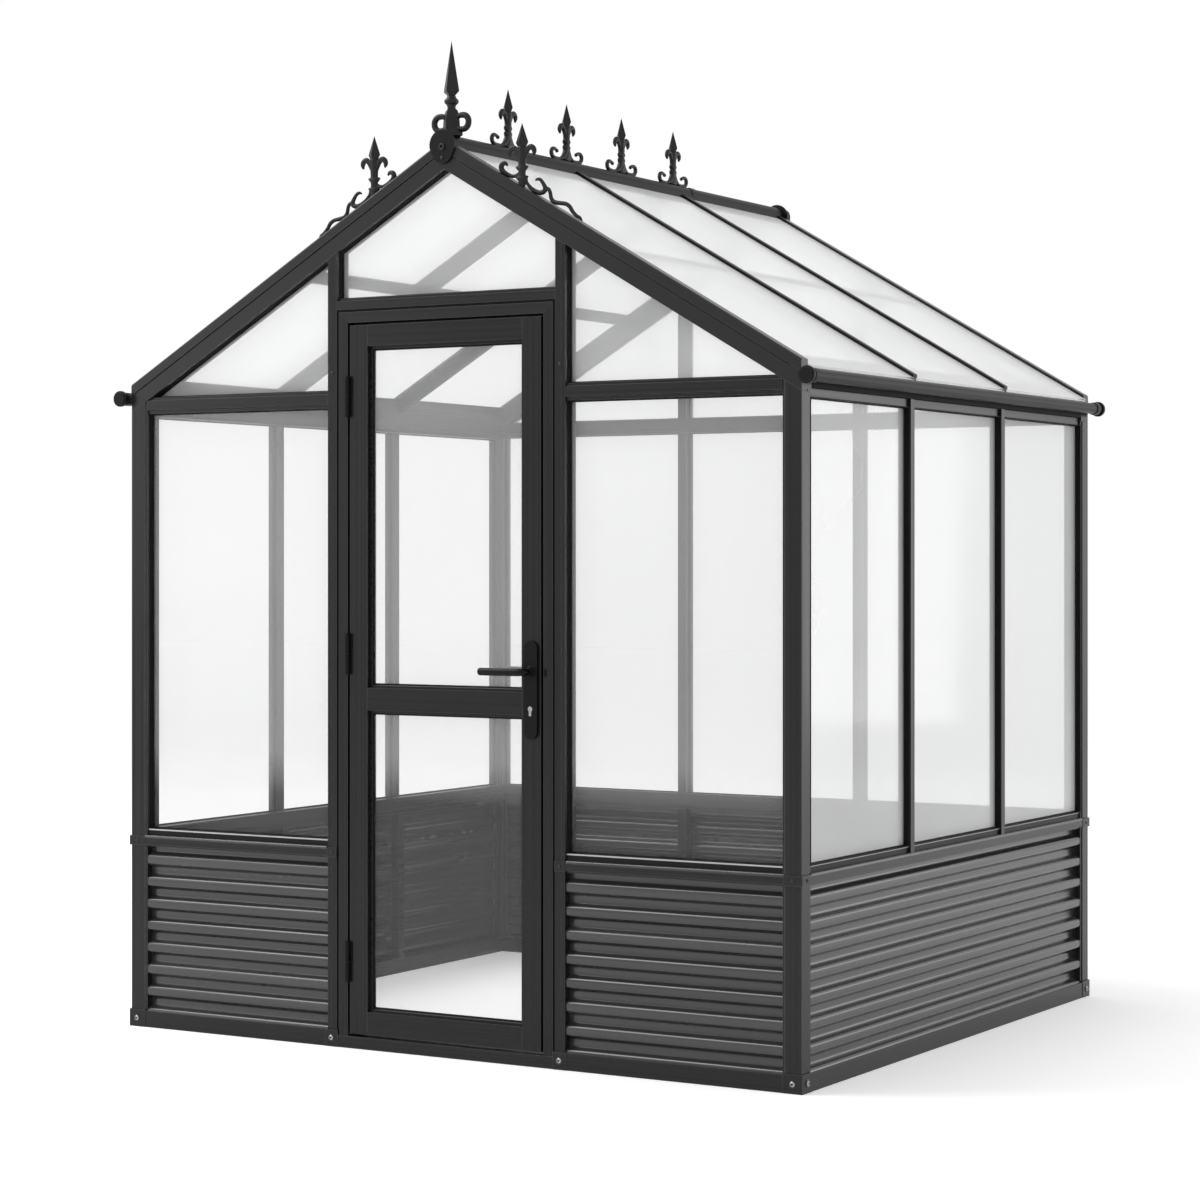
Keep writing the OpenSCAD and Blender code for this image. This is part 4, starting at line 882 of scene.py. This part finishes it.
leverSettings = {
    "x": 0.272, "z": 1.013, "radius": 10 * mm, "length": 135 * mm, "out": 42 * mm,
    "bend": 15 * mm, "straight": 12 * mm, "neck": 0.86, "tip": 4 * mm, "plate": 8 * mm,
    "gap": 0.4 * mm, "spindle": 6 * mm,
    # outlines of (radius, height) in millimetres
    "hub": ((0, 0.4), (10.6, 0.4), (11, 1), (11, 6.5), (10, 8), (0, 8)),
    "rose": ((15, -1), (15, 0.8), (14, 1.6)), "roseHole": ((12, 1.6), (11.6, 1.2), (11.6, -1)),
}

keySettings = {
    "drop": 95 * mm, "slot": 3.6 * mm, "slotTop": 5 * mm, "slotFoot": 18 * mm,
    "sunk": 1 * mm, "proud": 0.8 * mm, "backWide": 0.85,  # the room side's width beside the front's
    "barrel": ((0, -1), (6.8, -1), (6.8, 0.5), (6.0, 1.2)), "barrelHole": ((3.9, 1.2), (3.5, 0.2), (0, 0.2)),
}


def inMetres(outline, wide=1.0):
    return [(radius * mm * wide, height * mm) for radius, height in outline]


def doorLever(settings):
    front, back = leafLow.y, leafHigh.y
    x, z, plate = pick(settings, "x", "z", "plate")
    radius, bend, reach, tip = pick(settings, "radius", "bend", "out", "tip")
    neck, end = radius * settings["neck"], tip - settings["length"]
    stations = [(0, plate + settings["gap"], neck), (0, reach - bend, neck)]
    for k in range(1, 7):
        angle = math.radians(15 * k)
        stations.append((bend * (math.cos(angle) - 1), reach - bend * (1 - math.sin(angle)),
                         neck + (radius - neck) * k / 6))
    stations += [(-bend - settings["straight"], reach, radius), (end, reach, radius)]
    for k in range(1, 5):  # the rounded tip
        angle = math.radians(22.5 * k)
        stations.append((end - tip * math.sin(angle), reach, radius - tip * (1 - math.cos(angle))))
    bm = bmesh.new()
    for face, out in ((front, -1), (back, 1)):
        taperBar(bm, stations, lambda u, v, w: Vector((x + u, face + out * w, z + v)), 28, 1)
        turned(bm, inMetres(settings["hub"]), (x, face + out * plate, z), (0, out, 0))
    spindle, length = settings["spindle"], back - front + 2 * plate
    turned(bm, [(0, 0), (spindle, 0), (spindle, length), (0, length)], (x, front - plate, z), (0, 1, 0), 24)
    newPiece("doorLevers", bm, finish["hardwareCoat"], "lever", replaced=["door_lever"])


def keyholes(lever, settings):
    # The round rose under each lever and the lock cylinder below it
    bm, rose = bmesh.new(), bmesh.new()
    x, z = lever["x"], lever["z"] - settings["drop"]
    for face, out, wide in ((leafLow.y, -1, 1.0), (leafHigh.y, 1, settings["backWide"])):
        plateFace = face + out * lever["plate"]
        turned(bm, inMetres(settings["barrel"], wide) + inMetres(settings["barrelHole"]),
               (x, plateFace, z), (0, out, 0))
        low, high = sorted((plateFace - settings["sunk"] * out, plateFace + settings["proud"] * out))
        half = settings["slot"] * wide
        box(bm, (x - half, low, z - settings["slotFoot"]), (x + half, high, z - settings["slotTop"]))
        hole = inMetres(lever["roseHole"])
        turned(rose, hole[-1:] + inMetres(lever["rose"], wide) + hole, (x, plateFace, lever["z"]),
               (0, out, 0), 40)
    newPiece("lockCylinder", bm, finish["lockNickel"], "door", 0.3 * mm)
    newPiece("leverRoses", rose, finish["hardwareCoat"], "door")


doorLever(leverSettings)
keyholes(leverSettings, keySettings)
print("handle made")


# Bolts and screws

headSunk = 0.3 * mm


def boltHead(bm, centre, axis, radius, height, socket):
    # A domed head with a six-sided socket
    dome = [(radius * math.cos(a), height * (0.3 + 0.7 * math.sin(a)))
            for a in (math.radians(15 * k) for k in range(6))]
    dome = [(r, h) for r, h in dome if r > socket * 1.25]
    turned(bm, [(0, -headSunk), (radius * 0.96, -headSunk)] + dome + [
        (socket * 1.15, height), (socket, height - 0.2 * mm, 6), (socket, height * 0.3, 6),
        (0, height * 0.25)], centre, axis, 24)


def washer(bm, centre, axis, radius, height):
    turned(bm, [(0, -headSunk), (radius, -headSunk), (radius, height * 0.6),
                (radius * 0.92, height), (0, height)], centre, axis, 28)


boltSettings = {
    "radius": 7.2 * mm, "height": 3.8 * mm, "socket": 3.7 * mm, "socketDepth": 2.2 * mm,
    "washer": 10.5 * mm, "washerHeight": 1.2 * mm,
    "screw": 4.6 * mm, "screwHeight": 2.4 * mm, "screwSocket": 1.7 * mm, "ring": 9.5 * mm,
    "cornerIn": 27 * mm, "postX": 0.357, "headIn": 4 * mm,
    "boltZ": 24 * mm, "beltZ": 0.5185, "headZ": 1.80, "ringZ": 2.379, "bossZ": 2.350,
    # the boss's ring as (share of its radius, height in millimetres)
    "ringOutline": ((0.42, -0.5), (1, -0.5), (1, 3), (0.85, 4.5), (0.5, 4.5), (0.42, 4), (0.42, -0.5)),
}


def fasteners(settings):
    silver, black = bmesh.new(), bmesh.new()

    def bolt(point, axis):
        axis = Vector(axis)
        seat, socket = point + axis * settings["washerHeight"], settings["socket"]
        depth, hole = settings["socketDepth"], socket * 0.98
        washer(black, point, axis, settings["washer"], settings["washerHeight"])
        boltHead(silver, seat, axis, settings["radius"], settings["height"], socket)
        turned(black, [(0, 0), (hole, 0, 6), (hole, depth, 6), (0, depth)], seat, axis, 24)

    def screw(point, axis):
        boltHead(black, point, axis, settings["screw"], settings["screwHeight"], settings["screwSocket"])

    boltZ, beltZ, postX = pick(settings, "boltZ", "beltZ", "postX")
    sides = {"front": (0, -1, 0), "rear": (0, 1, 0), "right": (1, 0, 0), "left": (-1, 0, 0)}
    for wall, axis in sides.items():
        place = walls[wall][0]
        end = (halfWidth if wall in ("front", "rear") else halfLength) - settings["cornerIn"]
        for s in (-1, 1):
            bolt(place(s * end, 0, boltZ), axis)
            screw(place(s * end, 0, beltZ), axis)
    for s in (-1, 1):
        bolt(onFront(s * postX, 0, boltZ), sides["front"])
        screw(onFront(s * postX, 0, beltZ), sides["front"])
        screw(onFront(s * postX, settings["headIn"], settings["headZ"]), sides["front"])
    bossLow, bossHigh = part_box("gable_bosses")
    outline = [(settings["ring"] * share, height * mm) for share, height in settings["ringOutline"]]
    for face, axis in ((bossLow.y, sides["front"]), (bossHigh.y, sides["rear"])):
        turned(black, outline, (0, face, settings["ringZ"]), axis, 28)
        screw((0, face, settings["bossZ"]), axis)
    newPiece("cleatBolts", silver, finish["boltSteel"], "root")
    newPiece("frameScrews", black, finish["blackScrew"], "root")


fasteners(boltSettings)
print("fasteners made")


# Castings: the spire, the ridge finials and the rafter finials, in millimetres from the foot

castSettings = {"voxel": 1.5 * mm, "smooth": 2, "thicker": 1.22}


def castPiece(name, soft, crisp, settings=castSettings):
    # Fuses the soft bars into one casting and keeps the crisp heads as they are
    bmesh.ops.recalc_face_normals(soft, faces=soft.faces)
    body = addObject(name + "Soft", meshFrom(name + "Soft", soft))
    remesh = body.modifiers.new("fused", "REMESH")
    remesh.mode = "VOXEL"
    remesh.voxel_size = settings["voxel"]
    melt = body.modifiers.new("melted", "SMOOTH")
    melt.factor = 0.5
    melt.iterations = settings["smooth"]
    fused = bpy.data.meshes.new_from_object(body.evaluated_get(bpy.context.evaluated_depsgraph_get()))
    bpy.data.objects.remove(body)
    bmesh.ops.recalc_face_normals(crisp, faces=crisp.faces)
    crisp.from_mesh(fused)
    made = meshFrom(name, crisp)
    made.materials.append(finish["castCoat"])
    return made


def upright(u, v, w):
    return Vector((u, v, w)) * mm


def addStations(bm, stations, flat=1.0, mirrored=True):
    thicker = castSettings["thicker"]
    for side in (1, -1) if mirrored else (1,):
        taperBar(bm, [(side * u, w, r * thicker) for u, w, r in stations], upright, flat=flat)


def diamondLoft(bm, levels):
    # Four-sided levels of (height, half width, half thickness), a last width of 0 being a point
    rings = []
    for w, u, v in levels:
        if u == 0:
            rings.append([bm.verts.new(upright(0, 0, w))])
        else:
            rings.append([bm.verts.new(upright(*p, w)) for p in ((u, 0), (0, v), (-u, 0), (0, -v))])
    loft(bm, rings)


def roundLoft(bm, levels, sides=16):
    # Oval levels of (height, half width, half thickness)
    angles = [2 * math.pi * k / sides for k in range(sides)]
    loft(bm, [[bm.verts.new(upright(u * math.cos(a), v * math.sin(a), w)) for a in angles]
              for w, u, v in levels])


petal = [(4, 64, 4), (9, 76, 5), (14, 87, 5.5), (20, 95.5, 6), (28, 98, 6.3), (35, 93, 6),
         (37, 84, 5), (34, 75, 2)]
leafNub = [(0, -1, 8), (8, -0.5, 7), (14, 1, 4), (20, 3, 0.8)]


def finialHead(soft, crisp, nubHeights):
    diamondLoft(crisp, [(96, 11, 9), (101, 13.5, 11), (111, 19, 15), (162, 0, 0)])
    roundLoft(soft, [(2, 10, 9), (30, 10, 8.5), (62, 11, 9), (84, 12, 10), (92, 13.5, 11),
                     (99, 13, 11), (102, 9, 8)])
    addStations(soft, petal, flat=0.9)
    for height in nubHeights:
        addStations(soft, [(u, w + height, r) for u, w, r in leafNub])


def ridgeFinial():
    soft, crisp = bmesh.new(), bmesh.new()
    finialHead(soft, crisp, (40, 56))
    addStations(soft, [(4, 38, 5), (8, 26, 6), (14, 16, 6), (25, 8.5, 5), (41, 4, 3.5)], flat=1.1)
    addStations(soft, [(0, 22, 8), (6, 10, 8), (16, 5, 5)])
    addStations(soft, [(34, 5, 4), (48, 4.8, 4.2), (62, 5, 4.6), (74, 7.5, 5), (80.5, 15, 5), (80, 24, 5),
                       (74, 29, 4.8), (65, 30, 4.4), (57, 28.5, 3.8), (51, 25, 4.6), (48, 22, 3)], flat=0.95)
    return castPiece("ridgeFinialMesh", soft, crisp)


def frontSpire():
    soft, crisp = bmesh.new(), bmesh.new()
    diamondLoft(crisp, [(w, u, u) for w, u in ((102, 11), (107, 13), (117, 24.5), (251, 0))])
    diamondLoft(crisp, [(w, u, u) for w, u in (
        (0, 35), (8, 35), (14, 29), (24, 26.5), (36, 26), (48, 24.5), (58, 22.5), (66, 19.5), (72, 13),
        (76, 10))])
    roundLoft(soft, [(w, u, u) for w, u in (
        (66, 11), (77, 11), (82, 13), (86, 18), (91, 19.5), (96, 18), (100, 13), (106, 11.5))], 24)
    addStations(soft, [(18, 47, 5), (24, 52, 6), (34, 53.5, 6.6), (45, 51, 7), (52, 43, 7), (53.5, 34, 7),
                       (51, 25, 7), (44, 18, 6.8), (34, 16, 6.4), (25, 18, 6), (18, 23, 5)], flat=0.9)
    return castPiece("frontSpireMesh", soft, crisp)


def slopePoint(s, n):
    # Slope coordinates of the right side turned upright, s down the slope and n square to it
    return (s * math.cos(pitch) + n * math.sin(pitch), -s * math.sin(pitch) + n * math.cos(pitch))


def slopeBar(soft, stations):
    addStations(soft, [(*slopePoint(s, n), r) for s, n, r in stations], 0.9, mirrored=False)


def rafterFinial():
    soft, crisp = bmesh.new(), bmesh.new()
    finialHead(soft, crisp, (20, 46))
    roundLoft(soft, [(-9, 9, 9), (6, 9.5, 9)])
    slopeBar(soft, [(-14, 34, 3), (-22, 26, 3.4), (-29, 14, 3.8), (-40, 7, 4.2), (-56, 5.2, 4.8),
                    (-70, 5.8, 5.6), (-80, 11, 6), (-82, 19, 6), (-77, 26, 5), (-70, 26.5, 3.6),
                    (-65, 23, 1.6)])
    slopeBar(soft, [(0, 24, 3.4), (8, 14, 3.8), (22, 8, 4.2), (40, 5.6, 4.8), (57, 8, 5.4), (67, 16, 5.6),
                    (67, 25, 5.4), (57, 32, 4.6), (44, 37.5, 4), (35, 36, 3.6), (29, 29, 1.6)])
    slopeBar(soft, [(64, 24, 4), (76, 28, 4.2), (86, 22, 4.4), (95, 12, 4.6), (107, 7, 5), (124, 12, 4.8),
                    (141, 18.5, 4.6), (156, 18, 4.6), (170, 11, 4.4), (186, 7, 4), (198, 7, 3.4),
                    (209, 2.5, 1.2)])
    return castPiece("rafterFinialMesh", soft, crisp)


def standCast(name, mesh, place, turn=0.0, replaced=()):
    piece = addObject(name, mesh)
    piece.location = place
    piece.rotation_euler = (0, 0, turn)
    shadeSoftly(piece)
    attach(piece, "root")
    if replaced:
        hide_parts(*replaced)


crestSettings = {
    "collar": 2 * mm,  # how far the joint collar stands above the beam's flat top
    "spireIn": 42 * mm, "ridgeFirst": -0.632, "ridgeStep": 0.304, "ridgeCount": 4,
    "rafterX": 0.232, "rafterY": -0.929,
}


def cresting(settings):
    ridgeTop = ridgeHigh.z - settings["collar"]
    place = (0, -halfLength + settings["spireIn"], ridgeTop)
    standCast("spire", frontSpire(), place, replaced=["front_spire"])
    mesh = ridgeFinial()
    for i in range(settings["ridgeCount"]):
        y = settings["ridgeFirst"] + settings["ridgeStep"] * i
        standCast(f"ridgeFinial{i + 1}", mesh, (0, y, ridgeTop), math.pi / 2, ["ridge_cresting"])
    mesh = rafterFinial()
    x, y = settings["rafterX"], settings["rafterY"]
    footZ = apexZ - x * math.tan(pitch)
    standCast("rightRafterFinial", mesh, (x, y, footZ), replaced=["rafter_cresting"])
    mirrored = mesh.copy()
    mirrored.transform(Matrix.Scale(-1, 4, (1, 0, 0)))
    mirrored.flip_normals()
    standCast("leftRafterFinial", mirrored, (-x, y, footZ), replaced=["rafter_cresting"])


cresting(crestSettings)
print("cresting made")


# Floor, daylight and lamps

stageSettings = {
    "floorSize": 60.0, "floorColor": 0.94, "floorMottle": 0.01, "floorGlow": 0.27,
    "skyOnPiece": 0.77,  # the sky's strength on surfaces; it's seen as white
}

lampSettings = {
    # place, size, power
    "keyLamp": ((-4.2, -2.6, 6.6), 4.4, 330),
    "sideLamp": ((6.4, 7.4, 2.4), 4.2, 112),
    "frontLamp": ((-6.5, -6.7, 2.4), 2.6, 34),
}


lampAim = (0, 0, 1.1)


def seenRay(tree):
    rays = put(tree, "ShaderNodeLightPath").outputs
    seen = maths(tree, "MAXIMUM", rays["Is Camera Ray"], rays["Is Glossy Ray"])
    return maths(tree, "MAXIMUM", seen, rays["Is Transmission Ray"])


def makeFloor(settings):
    bm = bmesh.new()
    bmesh.ops.create_grid(bm, x_segments=4, y_segments=4, size=settings["floorSize"] / 2)
    floor = addObject("floor", meshFrom("floor", bm))
    floor.location.z = -0.5 * mm
    material, tree, shader = newMaterial("floorWhite")
    color, mottle = settings["floorColor"], settings["floorMottle"]
    tone = spread(tree, noise(tree, objectPlace(tree), 1.2, 3.0), 0.3, 0.7, color - mottle, color + mottle)
    setSockets(tree, shader.inputs, {
        "Base Color": put(tree, "ShaderNodeCombineColor", {0: tone, 1: tone, 2: tone}).outputs[0],
        "Roughness": 0.9, "Specular IOR Level": 0.1, "Emission Color": grey(1),
        "Emission Strength": maths(tree, "MULTIPLY", seenRay(tree), settings["floorGlow"])})
    floor.data.materials.append(material)


def makeSky(settings):
    world = bpy.data.worlds.new("softSky")
    world.use_nodes = True
    tree = world.node_tree
    strength = spread(tree, seenRay(tree), 0.0, 1.0, settings["skyOnPiece"], 1.0)
    setSockets(tree, tree.nodes["Background"].inputs, {"Color": grey(1), "Strength": strength})
    scene.world = world


def makeLamps(settings):
    for name, (place, size, power) in settings.items():
        data = bpy.data.lights.new(name, "AREA")
        data.size = size
        data.energy = power
        lamp = addObject(name, data)
        lamp.location = place
        aim = Vector(lampAim) - Vector(place)
        lamp.rotation_euler = aim.to_track_quat("-Z", "Y").to_euler()


makeFloor(stageSettings)
makeSky(stageSettings)
makeLamps(lampSettings)
scene.view_settings.view_transform = "Standard"
print("stage ready")
